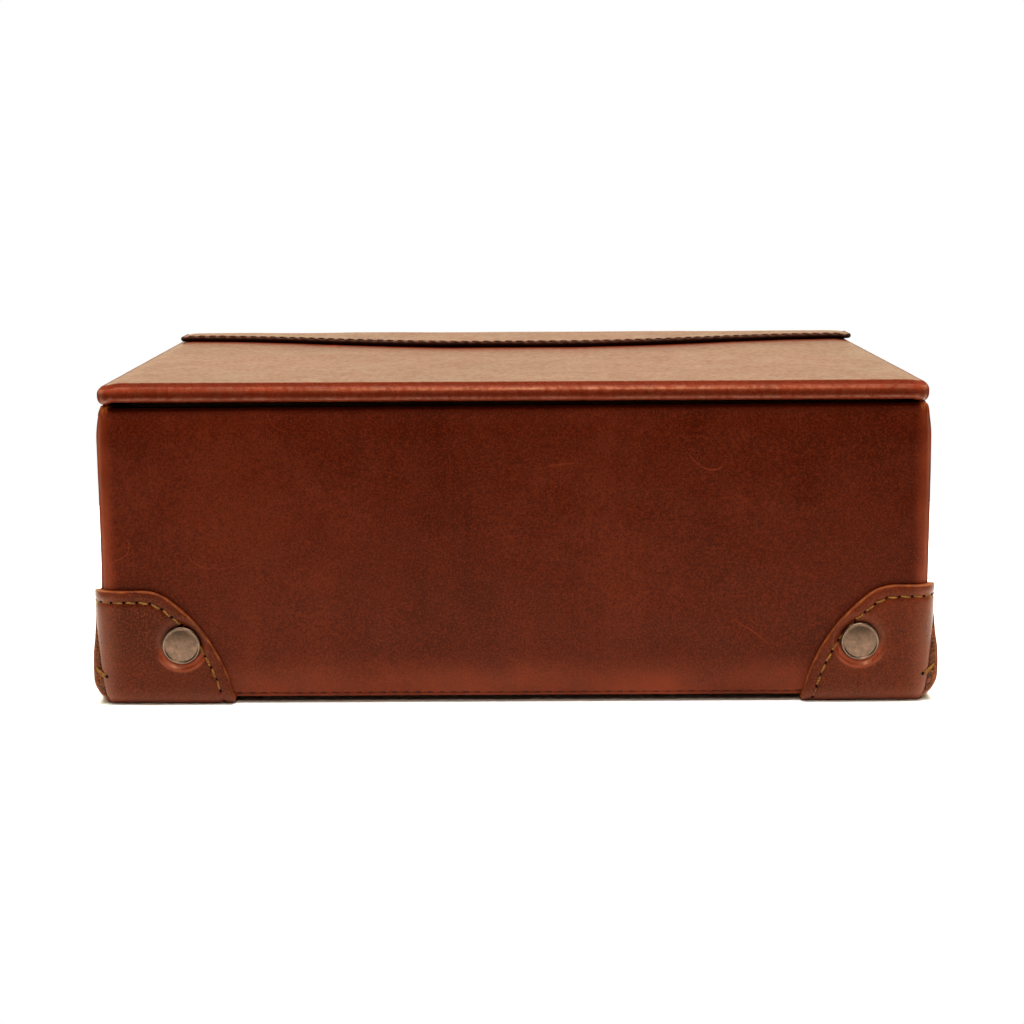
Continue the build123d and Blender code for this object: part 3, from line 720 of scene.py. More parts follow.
def stitch_route(lobe):
    """Points (s, z) of the stitch line over the whole guard, from the front lobe's foot to the side's."""
    d, z = lobe.edge(inset=STITCH_IN).T
    side_run = (z > -3.0) & (flat_s(d) > 0.3)
    s, z = flat_s(d[side_run]), z[side_run]
    return np.concatenate([np.stack([-s, z], -1)[::-1], np.stack([s, z], -1)])


def even_spacing(line, pitch, offset=0.0):
    """Points a pitch apart along a line of points."""
    length = np.concatenate([[0], np.cumsum(np.linalg.norm(np.diff(line, axis=0), axis=1))])
    at = np.arange(offset, length[-1], pitch)
    return np.stack([np.interp(at, length, line[:, k]) for k in range(line.shape[1])], -1)


def dart_line(z):
    """Where the dart's seam lies, s against height: nearer the front wall at the foot."""
    return -0.9 + 0.165 * np.clip(z, 0, DART_TOP)


def about_rivet(guard, s, z):
    """Distance from the rivet's middle, and how far below it: 1 straight below, -1 straight above."""
    far = np.hypot(np.abs(s) - guard["rivet_s"], z - guard["rivet_z"])
    return far, (guard["rivet_z"] - z) / np.maximum(far, 0.1)


# %% Guard relief
CAP_RADIUS = 6.0
DIMPLE_DEPTH = 1.05
DIMPLE, DIMPLE_ABOVE = 8.5, 1.2  # the dimple's radius, and how much wider it is above the cap
ARRIS = 0.55  # round of the cut edge
CHANNEL_DEPTH, HOLE_DEPTH = 0.22, 0.34
ROLL, ROLL_DEPTH = 1.5, 1.45  # width and depth of the front leather's rolled edge at the dart
FOOT_PRESS = 1.35  # how far the corner is pressed in at its foot


def guard_relief(guard, s, z, climb):
    """Height of the leather's face above the box's face; climb is 0 before the dart's seam, 1 past it.

    It is the leather's thickness, less quarter rounds at the edges, less a hump for each pressed line.
    """
    inset = np.maximum(guard["lobe"].inset(flat_d(s), z), 0)
    face = GUARD - ARRIS + np.sqrt(np.maximum(ARRIS**2 - (ARRIS - np.clip(inset, 0, ARRIS)) ** 2, 0))
    face = face - CHANNEL_DEPTH * hump(inset, STITCH_IN, 0.8) + 0.07 * hump(inset, 1.7, 0.8)
    to_rivet, below = about_rivet(guard, s, z)
    brim = DIMPLE + DIMPLE_ABOVE * fade(below, -0.3, 0.6)
    face = face - DIMPLE_DEPTH * fade(to_rivet, CAP_RADIUS + 0.3, brim)
    hole_s, hole_z = guard["holes"].T
    to_hole = np.hypot(s[..., None] - hole_s, z[..., None] - hole_z).min(-1)
    face = face - HOLE_DEPTH * hump(to_hole, 0, 0.62)
    open_dart = ease(DART_TOP + 0.6 - z, 0, 9)
    from_seam = s - dart_line(z)
    roll = np.clip(1 - np.abs(from_seam) / ROLL, 0, 1)
    front = 0.1 * hump(from_seam, -2.2, 2**0.5) - ROLL_DEPTH * (1 - np.sqrt(1 - roll**2))
    chamfer = 0.2 * np.clip(1 - from_seam / 0.5, 0, 1) ** 2
    face = face + open_dart * ((1 - climb) * front - climb * chamfer)
    low_corner = hump(s, 0, 9.0) * np.clip(1 - z / 9.5, 0, 1) ** 2
    return face - FOOT_PRESS * low_corner * ease(z, -0.5, 2.5)


def stand_out(points, guard, side, s, z, climb):
    """Past the dart's seam the leather runs straight on, x = wall + GUARD + bulge, not round the corner."""
    rise = np.sin(np.pi * np.clip((z - 1) / (DART_TOP + 1), 0, 1)) ** 0.8
    square = climb * ease(DART_TOP + 0.6 - z, 0, 10) * ease(z, 0.5, 8)
    short = np.clip(HALF_X + GUARD - 0.1 - np.abs(points[..., 0]), 0, None) * (np.abs(s) < CORNER_RUN)
    push = square * short + guard["bulge"] * rise * climb * np.exp(-np.clip(s - 1.0, 0, None) / 7.0)
    return points + push[..., None] * np.array([side, 0.0, 0.0])


# %% [markdown]
# The guard's mesh is a tube of rows: up the glued face, across the cut edge, down the outside, round
# the base and in under it, and back up. Columns crowd together where the outline is steep and at the
# dart, where a few of them climb its raw step. The cut faces get fibres: a fine, uneven ripple.

# %% Guard columns and rows
BESIDE_SEAM = np.array([0.0, 0.08, 0.2, 0.36, 0.55, 0.8, 1.1, 1.45, 1.8])
EDGE_ROWS = np.array([0, 0.06, 0.16, 0.3, 0.5, 0.8, 1.2, 1.7, 2.3, 2.9, 3.4, 3.9, 4.5, 5.2])[:, None]
STEP_COLUMNS = 5  # columns that climb the dart's raw step
SIDE_DIP = 1.9  # the side's edge dips by this much behind the corner


def guard_columns(lobe):
    """s and climb of every column, spaced evenly along the edge, with extra ones up the dart's step."""
    edge = lobe.edge(1600)
    even = np.concatenate([even_spacing(edge, 0.5), edge[-1:]])
    s = flat_s(even[:, 0])
    s = s[s > 2.2]
    run = np.concatenate([-s[::-1], -BESIDE_SEAM[::-1], np.zeros(STEP_COLUMNS), BESIDE_SEAM, s])
    flat_columns = len(s) + len(BESIDE_SEAM)
    step = np.arange(1, STEP_COLUMNS + 1) / (STEP_COLUMNS + 1)
    return run, np.concatenate([np.zeros(flat_columns), step, np.ones(flat_columns)])


def guard_rows(lobe, run):
    """Heights of the top edge, and w there, at the flap's end and on every row of the outside.

    Rows crowd at the cut edge, then run evenly down the wall, round the base and in under it.
    """
    top_z = lobe.top(flat_d(run)) - SIDE_DIP * (ease(run, 0.5, 8) - ease(run, 16, 34))
    top_w = flat_w(top_z)
    past = np.maximum(np.abs(run) - CORNER_RUN, 0)
    flap = lobe.reach - OUTER_CORNER
    depth = np.minimum(past, np.sqrt(np.maximum(flap**2 - past**2, 0)))
    end_w = -BASE_RUN - (CORNER_RADIUS - BASE_ROUND) - depth
    slope = np.abs(np.gradient(top_z) / np.maximum(np.abs(np.gradient(run)), 1e-3))
    steep = np.minimum(np.sqrt(1 + np.minimum(slope, 4) ** 2), 4)
    room = np.clip((top_w + BASE_RUN) / 22.0, 0, 1)
    rows = [top_w - EDGE_ROWS * np.minimum(steep, 1 + 3 * room) * np.maximum(room, 0.15)]
    for goal, steps in [(np.minimum(rows[0][-1], 0), 51), (-BASE_RUN, 12), (end_w, 8)]:
        last = rows[-1][-1]
        rows.append(last + (goal - last) * np.linspace(0, 1, steps + 1)[1:, None])
    inner = (past[:-1] < flap * 0.7) & (past[1:] < flap * 0.7)
    return top_z, top_w, end_w, np.concatenate(rows), inner


# %% Guard mesh
def lean_to_seam(run, z):
    """Columns near the corner moved over, so that the middle ones follow the dart's seam."""
    return run + dart_line(z) * hump(run, 0, 3.2)


def guard_points(guard, side, end):
    """The guard's closed grid of points, the cells to make, and its marks for the leather."""
    lobe, seed = guard["lobe"], guard["seed"]
    run, climb = guard_columns(lobe)
    top_z, top_w, end_w, w, inner = guard_rows(lobe, run)
    z = BASE_Z - BASE_OUTER * np.sin(np.clip(-w / BASE_RUN, 0, 1) * np.pi / 2)
    z = np.where(w > 0, BASE_Z + w, np.where(w < -BASE_RUN, UNDERSIDE - GUARD, z))
    climb = climb + 0 * w
    s = lean_to_seam(run, z)
    flat = np.stack([s, z, 0 * z], -1)
    fibre = ripple(flat, 1.3, seed) + 0.7 * ripple(flat, 0.7, seed + 1)
    step = (climb > 0.01) & (climb < 0.99)
    open_step = step * ease(DART_TOP + 0.6 - z, 0, 6)
    face = guard_relief(guard, s, z, climb)
    face = face + 0.05 * ripple(flat, 18, seed + 2) * ease(lobe.inset(flat_d(s), z), 0, 3)
    face = np.where(w < -BASE_RUN, GUARD, np.maximum(face, 0.5))
    s = s + 0.10 * fibre * open_step
    outer = stand_out(wrap_guard(side, end, s, w, face), guard, side, s, z, climb)
    outer = outer + (0.14 * fibre * open_step)[..., None] * np.array([0.0, end, 0.0])
    cut_rows = np.linspace(0.04, 1, 7)[:-1, None]
    cut_n = cut_rows * (GUARD - ARRIS) + 0 * top_w
    cut_s = lean_to_seam(run, top_z) + 0 * cut_n
    cut_flat = np.stack([cut_s, 3 * cut_n, top_z + 0 * cut_n], -1)
    cut_w = top_w + 0.09 * ripple(cut_flat, 1.2, seed + 3) * np.sin(np.pi * cut_rows)
    cut = wrap_guard(side, end, cut_s, cut_w, cut_n)
    back_w = end_w + (top_w - end_w) * np.linspace(0, 1, 12)[:-1, None]
    back = wrap_guard(side, end, cut_s[0] + 0 * back_w, back_w, 0.04 + 0 * back_w)
    points = np.concatenate([back, cut, outer])
    keep = np.ones((len(points), len(run) - 1), bool)
    keep[-1] = ~inner
    marks = guard_marks(guard, run, top_z, s, z, w, climb, open_step * (w > -BASE_RUN))
    glued = len(back) + len(cut)
    beyond = {"raw": 1.0, "rivet": 20.0}
    marks = {
        key: np.concatenate([np.full((glued, len(run)), beyond.get(key, 0.0)), value])
        for key, value in marks.items()
    }
    return points, keep, marks


def guard_marks(guard, run, top_z, s, z, w, climb, open_step):
    """Marks of the outside's rows: raw edges, bends with painted light, the dart's inner step, the rivet and
    a painted highlight crescent below it.

    The bent tone is a hump over the corner, partly painted side light, over the fold at the base, and in a
    ring round the rivet's cap, heaviest below it as a painted highlight.
    """
    ragged = 0.11 * ripple(np.stack([run, 0 * run, top_z], -1), 2.4, guard["seed"] + 4)
    raw = np.zeros_like(w)
    raw[: len(EDGE_ROWS)] = fade(EDGE_ROWS + ragged, 0.06, 0.4)
    to_rivet, below = about_rivet(guard, s, z)
    past_cap = to_rivet - CAP_RADIUS
    # Below each cap the bent tone is heavier and a pale crescent lies just under it: painted highlight where
    # the dimple's lower slope faces the light.
    ring = hump(past_cap, 1.3, 1.0) * (0.25 + 0.75 * ease(below, -0.2, 0.6))
    crescent_highlight = hump(past_cap, 1.0, 0.45) * ease(below, 0.0, 0.6)
    crescent_highlight = crescent_highlight + 0.8 * hump(past_cap, 2.3, 0.4) * ease(below, 0.35, 0.8)
    return {
        "raw": np.maximum(raw, open_step),
        "bend": np.clip(0.5 * hump(run, 0, 4.6) + 0.25 * hump(w, -BASE_RUN / 2, 3.2) + 0.75 * ring, 0, 1),
        # The inner part of the dart's step, next to the front leather: painted shade with crumbs of fibre
        # over it.
        "seam": open_step * fade(climb, 0.55, 0.85),
        "rivet": to_rivet,
        "crescent_highlight": crescent_highlight,
    }


# %% Four guards
GUARD_SIDES = {"front_left": (-1, -1), "front_right": (1, -1), "rear_left": (-1, 1), "rear_right": (1, 1)}
GUARD_BULGE = {"front_left": 0.75, "front_right": 1.15, "rear_left": 1.0, "rear_right": 0.9}


def cap_places():
    """Centres of the rivet caps on the end walls (front and rear), by guard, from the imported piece."""
    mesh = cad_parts["rivet_caps"].data
    spots = np.empty(len(mesh.vertices) * 3, np.float32)
    mesh.vertices.foreach_get("co", spots)
    spots = spots.reshape(-1, 3) / MM
    places = {}
    for name, (side, end) in GUARD_SIDES.items():
        here = spots[(np.sign(spots[:, 0]) == side) & (spots[:, 1] * end > HALF_Y + 0.5)]
        places[name] = (here.min(0) + here.max(0)) / 2
    return places


caps = cap_places()
guards = {}
for number, (name, (side, end)) in enumerate(GUARD_SIDES.items()):
    low, high = extent(f"corner_guard_{name}")
    reach = HALF_X + GUARD - (-high[0] if side < 0 else low[0])
    lobe = Lobe(reach, high[2])
    holes = even_spacing(stitch_route(lobe), STITCH_PITCH, 1.1 + 0.6 * number)
    guards[name] = {
        "lobe": lobe, "holes": holes, "bulge": GUARD_BULGE[name], "seed": 60 + 10 * number,
        "rivet_s": flat_s(HALF_X + GUARD - abs(caps[name][0])), "rivet_z": caps[name][2],
    }
    points, keep, marks = guard_points(guards[name], side, end)
    piece = make_piece(f"corner_guard_{name}_leather", points, wrap_rows=True, keep=keep, **marks)
    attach(piece, "case")
    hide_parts(f"corner_guard_{name}")
    guards[name]["piece"] = piece

# %% [markdown]
# ## Rivet caps
#
# A rivet's cap is a thin, slightly domed disc with a raised rim line, pressed into the leather. A
# flattened ball would have no rim, so the caps are turned shapes, as on a lathe: a profile spun round
# an axis. The set's eight caps are one piece.

# %% Rivet caps
CAP_SEAT = GUARD - 0.5
CAP_RIM = 5.6  # radius of the rim line
CAP_PROFILE = np.array([
    (0, 1.22), (1.2, 1.2), (2.4, 1.13), (3.5, 1.02), (4.4, 0.89), (5.0, 0.79), (5.2, 0.78), (5.36, 0.95),
    (5.52, 1.13), (5.68, 1.14), (5.84, 1.05), (5.95, 0.9), (6.0, 0.7), (6.0, 0.1), (5.8, 0.0), (0, 0.0),
])


def cap_spots():
    """Centre, facing, and an axis across, of all eight caps: one on each lobe of each guard."""
    for name, (side, end) in GUARD_SIDES.items():
        z = guards[name]["rivet_z"]
        in_from_corner = guards[name]["rivet_s"] - CORNER_RUN
        yield (side * (HALF_X - CORNER_RADIUS - in_from_corner), end * HALF_Y, z), (0, end, 0), (1, 0, 0)
        yield (side * HALF_X, end * (HALF_Y - CORNER_RADIUS - in_from_corner), z), (side, 0, 0), (0, 1, 0)


def turned(profile, spots, steps=64):
    """A profile of (radius, height) spun round each spot's facing: a stack of grids.

    A point is centre + radius (cos t across + sin t other) + height along the facing.
    """
    turn = np.linspace(0, 2 * np.pi, steps, endpoint=False)[:, None]
    radius, height = profile[:, 0, None, None], profile[:, 1, None, None]
    made = []
    for centre, facing, across in spots:
        facing, across = np.array(facing, float), np.array(across, float)
        ring = np.cos(turn) * across + np.sin(turn) * np.cross(facing, across)
        made.append(np.array(centre) + radius * ring + (CAP_SEAT + height) * facing)
    return np.array(made)


grids = turned(CAP_PROFILE, cap_spots())
rim_mark = hump(CAP_PROFILE[:, 0], CAP_RIM, 0.16)[None, :, None] + 0 * grids[..., 0]
rivet_caps = make_piece("rivet_cap_set", grids, wrap_columns=True, rim=rim_mark)
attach(rivet_caps, "case")
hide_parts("rivet_caps")

# %% [markdown]
# ## Stitches
#
# The box is sewn by hand with thick waxed thread. Each stitch comes up out of one needle hole, lies
# over the leather at a slight slant and goes down the next. A texture of stitches would look printed
# on, because thread stands above the leather and casts a shadow. So a stitch here is two plies twisted
# round each other, each a tube of a few faces, and every hole is a small dished disc in painted shade.

# %% Stitch maker
PLY = 0.25  # radius of one ply
PLY_TWIST = 1.9  # length of one turn of the plies


def stitches(start, finish, up_start, up_finish, slant=0.28, rise=0.34, sink=0.35, ply=PLY, rows=7, ring=5):
    """Two-ply stitches from start to finish points: a low arch, with its ends tucked into the holes.

    The centre line is the straight run plus an arch of height rise along up, slanted across by slant.
    """
    t = np.linspace(0, 1, rows)[:, None]
    run = (finish - start)[:, None, :]
    length = np.linalg.norm(run, axis=-1, keepdims=True)
    up = up_start[:, None, :] * (1 - t) + up_finish[:, None, :] * t
    across = unit(np.cross(run / length, up))
    arch = up * ((rise + sink) * np.sin(np.pi * t) ** 0.45 - sink)
    drift = across * slant * (2 * t - 1) * np.sin(np.pi * t)
    centre = start[:, None, :] + run * (0.05 + 0.90 * t) + arch + drift
    angle = 2 * np.pi * t * length / PLY_TWIST
    around = np.linspace(0, 2 * np.pi, ring, endpoint=False)[:, None]
    taper = np.clip(6 * np.minimum(t, 1 - t), 0, 1) ** 0.5
    tube = np.cos(around) * across[:, :, None, :] + np.sin(around) * up[:, :, None, :]
    plies = []
    for half_turn in (0, np.pi):
        offset = ply * 0.8 * (np.cos(angle + half_turn) * across + np.sin(angle + half_turn) * up)
        plies.append((centre + offset)[:, :, None, :] + ply * taper[..., None] * tube)
    return np.concatenate(plies)


def needle_holes(places, ups, radius=0.5):
    """Dished discs at the needle holes: a rim ring with a raised face and a point below."""
    side = unit(np.cross(ups, [0.13, 0.37, 0.92]))
    other = np.cross(ups, side)
    around = np.linspace(0, 2 * np.pi, 9, endpoint=False)[:, None]
    ring = np.cos(around) * side[:, None, :] + np.sin(around) * other[:, None, :]
    levels = [(0.0, 0.05), (0.7 * radius, 0.045), (radius, 0.0), (0.0, -0.5)]
    rows = [places[:, None, :] + reach * ring + lift * ups[:, None, :] for reach, lift in levels]
    return np.stack(rows, axis=1)


# %% Stitches on the guards
def on_guard(name, s, z, lift):
    """Point on a guard's finished face and the direction out of it, for pattern places (s, z)."""
    side, end = GUARD_SIDES[name]
    face = guard_relief(guards[name], s, z, (s > dart_line(z)) * 1.0)
    here = wrap_guard(side, end, s, flat_w(z), face + lift)
    out = wrap_guard(side, end, s, flat_w(z), face + lift + 1.0) - here
    return here, unit(out)


threads, holes = [], []
for name, guard in guards.items():
    s, z = guard["holes"].T
    place, up = on_guard(name, s, z, 0.12)
    hidden = about_rivet(guard, s, z)[0] < CAP_RADIUS - 0.3
    show = ~(hidden[:-1] & hidden[1:])
    threads.append(stitches(place[:-1][show], place[1:][show], up[:-1][show], up[1:][show]))
    holes.append(needle_holes(place[~hidden] + 0.12 * up[~hidden], up[~hidden], 0.44))
guard_thread = make_piece("guard_stitches", np.concatenate(threads), wrap_columns=True)
guard_holes = make_piece("guard_needle_holes", np.concatenate(holes), wrap_columns=True)

# %% [markdown]
# One cross stitch holds each dart shut at its foot: thicker thread, laid slantwise over the seam.

# %% Dart stitches
DART_STITCH = {  # each guard's two needle holes, (s, z)
    "front_left": [(-2.4, 9.3), (2.6, 12.2)], "front_right": [(-2.6, 9.1), (3.4, 12.3)],
    "rear_left": [(-2.5, 9.6), (2.8, 12.0)], "rear_right": [(-2.4, 9.0), (3.0, 11.8)],
}
threads, holes = [], []
for name, ends in DART_STITCH.items():
    s, z = np.array(ends).T
    place, up = on_guard(name, s, z, 0.25)
    place = stand_out(place, guards[name], GUARD_SIDES[name][0], s, z, (s > 0) * 1.0)
    for lower in (0.0, 0.45):
        first, second = place - [0, 0, lower]
        thread_run = (first[None], second[None], up[:1], up[1:])
        threads.append(stitches(*thread_run, slant=0.1, rise=0.55, ply=0.3, rows=9))
    holes.append(needle_holes(place, up, 0.55))
dart_thread = make_piece("dart_stitches", np.concatenate(threads), wrap_columns=True)
dart_holes = make_piece("dart_needle_holes", np.concatenate(holes), wrap_columns=True)

# %% Stitches along the hinge strip
def strip_route(on_lid, inset=STRIP_STITCH_IN):
    """Points (x, along) of the stitch line on one half of the strip, inset from its edge."""
    x = np.linspace(-STRIP_HALF + inset, STRIP_HALF - inset, 900)
    level = strip_limits(x)[0 if on_lid else 1]
    slope = np.gradient(level, x)
    sink = inset * np.sqrt(1 + np.clip(slope, -1.2, 1.2) ** 2)
    return np.stack([x, level + sink if on_lid else level - sink], -1)


def strip_stitches(on_lid):
    """Stitches and holes along one half's edge."""
    x, along = even_spacing(strip_route(on_lid), STITCH_PITCH, 1.0).T
    place = on_strip(x, along, STRIP - 0.12 + 0 * x)
    up = unit(on_strip(x, along, STRIP + 1 + 0 * x) - place)
    thread = stitches(place[:-1], place[1:], up[:-1], up[1:], slant=0.2, rise=0.14, ply=0.2)
    return thread, needle_holes(place, up, 0.36)


lid_thread, lid_holes = strip_stitches(True)
wall_thread, wall_holes = strip_stitches(False)
strip_lid_stitches = make_piece("hinge_strip_lid_stitches", lid_thread, wrap_columns=True)
strip_lid_holes = make_piece("hinge_strip_lid_holes", lid_holes, wrap_columns=True)
strip_wall_stitches = make_piece("hinge_strip_wall_stitches", wall_thread, wrap_columns=True)
strip_wall_holes = make_piece("hinge_strip_wall_holes", wall_holes, wrap_columns=True)

# %% [markdown]
# A fine row of stitches in a matching thread runs round the foot of the walls, between the guards.

# %% Stitches round the foot
FOOT_PITCH, FOOT_GAP = 3.8, 0.5
FOOT_IN = 0.28  # how deep the row lies in its groove
UNDER_GUARDS = 42.0  # the row stops this far from each end, under the guards


def foot_stitches():
    """Short stitches along the pressed line on all four walls, between the guards."""
    starts, finishes, ups = [], [], []
    for wall, (half, other) in enumerate([(HALF_X, HALF_Y), (HALF_Y, HALF_X)]):
        at = np.arange(UNDER_GUARDS - half, half - UNDER_GUARDS, FOOT_PITCH)
        for way in (-1, 1):
            depth = np.full(len(at), way * (other - FOOT_IN))
            for store, shift in ((starts, FOOT_GAP), (finishes, FOOT_PITCH - FOOT_GAP)):
                flat = (at + shift, depth) if wall == 0 else (depth, at + shift)
                store.append(np.stack([*flat, np.full(len(at), STITCH_LINE_Z)], -1))
            facing = (0.0, way, 0.0) if wall == 0 else (way, 0.0, 0.0)
            ups.append(np.tile(facing, (len(at), 1)))
    start, finish, up = (np.concatenate(part) for part in (starts, finishes, ups))
    return stitches(start, finish, up, up, slant=0.0, rise=0.12, sink=0.2, ply=0.17, rows=5, ring=4)


foot_thread = make_piece("foot_stitches", foot_stitches(), wrap_columns=True)

# %% Bodies for the stitches, and the strip's transform baked
for piece, body in [
    (guard_thread, "case"), (guard_holes, "case"), (dart_thread, "case"), (dart_holes, "case"),
    (strip_lid_stitches, "lid"), (strip_lid_holes, "lid"),
    (strip_wall_stitches, "case"), (strip_wall_holes, "case"), (foot_thread, "case"),
]:
    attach(piece, body)
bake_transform(strip)
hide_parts("hinge_upper_leaf", "hinge_lower_leaf")

# %% [markdown]
# ## Finishes
#
# A material here is a small network of nodes. One helper adds a node, sets its plain values and links
# its inputs, so that each recipe below reads as a list of layers.

# %% Node helper
class Recipe:
    """A material in the making: a node tree with a Principled shader at its end."""

    def __init__(self, name):
        """Start the material, and find its shader and the place on the piece that patterns follow."""
        self.material = bpy.data.materials.new(name)
        self.material.use_nodes = True
        self.tree = self.material.node_tree
        self.shader = self.tree.nodes["Principled BSDF"]
        self.place = self.add("ShaderNodeTexCoord").outputs["Object"]

    def connect(self, socket, value):
        """Link another node's output to a socket, or set the socket to a plain value."""
        if isinstance(value, bpy.types.NodeSocket):
            self.tree.links.new(value, socket)
        else:
            socket.default_value = value

    def add(self, kind, settings=None, **inputs):
        """A node with settings on it. Inputs go by name, with _ for a space, or by i and their number."""
        node = self.tree.nodes.new(kind)
        for key, value in (settings or {}).items():
            setattr(node, key, value)
        for key, value in inputs.items():
            numbered = key[0] == "i" and key[1:].isdigit()
            self.connect(node.inputs[int(key[1:]) if numbered else key.replace("_", " ")], value)
        return node

    def noise(self, scale, detail=3.0, roughness=0.55, place=None, distortion=0.0):
        """Cloudy noise from 0 to 1; its scale is in features per metre, roughly."""
        settings = {"Scale": scale, "Detail": detail, "Roughness": roughness, "Distortion": distortion}
        return self.add("ShaderNodeTexNoise", Vector=place or self.place, **settings).outputs[0]

    def squeeze(self, factors, turn=(0, 0, 0)):
        """Object coordinates scaled along each axis, for grain with a direction."""
        return self.add("ShaderNodeMapping", Vector=self.place, Scale=factors, Rotation=turn).outputs[0]

    def ramp(self, value, low, high, to_low=0.0, to_high=1.0):
        """A smooth ramp of a value, from to_low at low to to_high at high."""
        settings = {"interpolation_type": "SMOOTHSTEP"}
        node = self.add("ShaderNodeMapRange", settings, Value=value, i1=low, i2=high, i3=to_low, i4=to_high)
        return node.outputs[0]

    def math(self, operation, a, b=0.0):
        """One sum on two values."""
        return self.add("ShaderNodeMath", {"operation": operation}, i0=a, i1=b).outputs[0]

    def times(self, a, b):
        """a times b."""
        return self.math("MULTIPLY", a, b)

    def total(self, *parts):
        """Pairs (value, weight), multiplied and added up."""
        value, weight = parts[0]
        added = self.times(value, weight)
        for value, weight in parts[1:]:
            added = self.math("ADD", added, self.times(value, weight))
        return added

    def blend(self, factor, a, b):
        """Two colours mixed by a factor."""
        return self.add("ShaderNodeMix", {"data_type": "RGBA"}, i0=factor, i6=a, i7=b).outputs[2]

    def over(self, body, value, low, high, tone, share=1.0):
        """body with tone laid over it where value rises from low to high, up to a share."""
        return self.blend(self.ramp(value, low, high, 0.0, share), body, tone)

    def mark(self, name):
        """A number stored on the mesh."""
        return self.add("ShaderNodeAttribute", {"attribute_name": name}).outputs["Fac"]

    def bump(self, height, distance, strength=1.0, **normal):
        """Relief from a height, over another relief given as Normal."""
        relief = {"Height": height, "Distance": distance, "Strength": strength, **normal}
        return self.add("ShaderNodeBump", **relief).outputs[0]

    def set(self, **sockets):
        """Plain values or outputs on the Principled shader; gives the finished material."""
        for key, value in sockets.items():
            self.connect(self.shader.inputs[key.replace("_", " ")], value)
        return self.material


def colour(red, green, blue):
    """A screen colour (0 to 255) as the linear light values that nodes use."""
    screen = np.array([red, green, blue]) / 255
    linear = np.where(screen <= 0.04045, screen / 12.92, ((screen + 0.055) / 1.055) ** 2.4)
    return (*linear.tolist(), 1.0)


def shade(tone, factor):
    """A colour made lighter or darker."""
    return (*(factor * part for part in tone[:3]), 1.0)


# %% [markdown]
# ### Waxed leather
#
# Waxed pull-up leather is never one colour. Wax and dye lie unevenly, so there are clouds the size of
# a palm and mottles the size of a coin; where it is bent or pressed the wax moves away and it turns
# lighter and redder; hairline scratches show pale; and a cut edge shows fibres. Its shine is soft. One
# colour with a bump map would look like plastic, so the recipe lays these layers over each other.

# %% Leather layers
WAX_TINT = (1.0, 0.62, 0.42, 1.0)  # wax over red dye: what it reflects head-on is warm
CRESCENT_HIGHLIGHT = colour(176, 84, 58)  # painted highlight: the pale crescent just below a rivet's cap
# painted contact shadow round each rivet's cap
RIVET_SHADOW = colour(14, 4, 2)
# dark: painted shade in the dart's step; light: its crumbs of fibre
DART_STEP_SHADE, CRUMB_LIGHT = colour(26, 10, 4), colour(136, 66, 28)


def dye(r, mottle, patchy, walls):
    """How light the dye is: clouds, mottles, flecks and streaks, weighted and added up.

    On the walls it also changes from end to end, and is brushed upright.
    """
    streak = r.noise(9.0, 3.0, 0.6, place=r.squeeze((3.4, 3.4, 0.7)))
    layers = [
        (r.noise(11.0, 2.0), 0.40), (mottle, 0.27 * patchy), (1.0, 0.135 * (1 - patchy)),
        (r.noise(520.0, 3.0, 0.6), 0.13), (streak, 0.20),
    ]
    if walls:
        across = r.add("ShaderNodeSeparateXYZ", Vector=r.place).outputs[0]
        brushed = r.noise(75.0, 3.0, 0.65, place=r.squeeze((1.0, 1.0, 0.16), (0.2, 0.1, 0.4)))
        layers += [(across, -0.65), (r.math("SUBTRACT", brushed, 0.5), 0.22)]
    return r.total(*layers)


def hairlines(r):
    """Short hairline scratches: thin bands of a distorted noise, kept in patches."""
    hair = r.noise(16.0, 1.0, 0.4, distortion=0.9, place=r.squeeze((1.0, 1.0, 1.5), (0.3, 0.5, 0.2)))
    line = r.ramp(r.math("ABSOLUTE", r.math("SUBTRACT", hair, 0.5)), 0.0, 0.0034, 1.0, 0.0)
    return r.times(line, r.ramp(r.noise(34.0, 2.0), 0.56, 0.66))


def rivet_and_seam(r, body):
    """On a guard: painted highlight crescents below the caps, a painted contact shadow round them, and the
    dart's crumbs over painted shade in its step.
    """
    # A thin near-black ring round each cap: painted contact shadow.
    contact_shadow = r.times(r.ramp(r.mark("rivet"), 6.1, 6.45, 1.0, 0.0), 0.85)
    # A pale crescent below each cap: painted highlight.
    body = r.blend(r.times(r.mark("crescent_highlight"), 0.6), body, CRESCENT_HIGHLIGHT)
    body = r.blend(contact_shadow, body, RIVET_SHADOW)
    # Crumbs of fibre over painted shade in the dart's recess.
    crumbs = r.over(DART_STEP_SHADE, r.noise(1300.0, 3.0, 0.75), 0.46, 0.62, CRUMB_LIGHT)
    return r.blend(r.mark("seam"), body, crumbs)


def grain_relief(r, scratch, fibres, cut, waves):
    """Fine grain with scratches sunk in and fibres raised, over broad low waves."""
    pebbles = {"Scale": 1150.0, "Smoothness": 0.6, "Randomness": 1.0}
    grain = r.add("ShaderNodeTexVoronoi", {"feature": "SMOOTH_F1"}, Vector=r.place, **pebbles).outputs[0]
    height = r.total((grain, 0.55), (r.noise(2200.0, 3.0, 0.6), 0.45))
    height = r.math("SUBTRACT", height, r.times(scratch, 0.8))
    height = r.math("ADD", height, r.times(r.times(fibres, cut), 3.5))
    return r.bump(r.noise(95.0, 3.0, 0.55), 0.0011, waves, Normal=r.bump(height, 0.00010, 0.55))


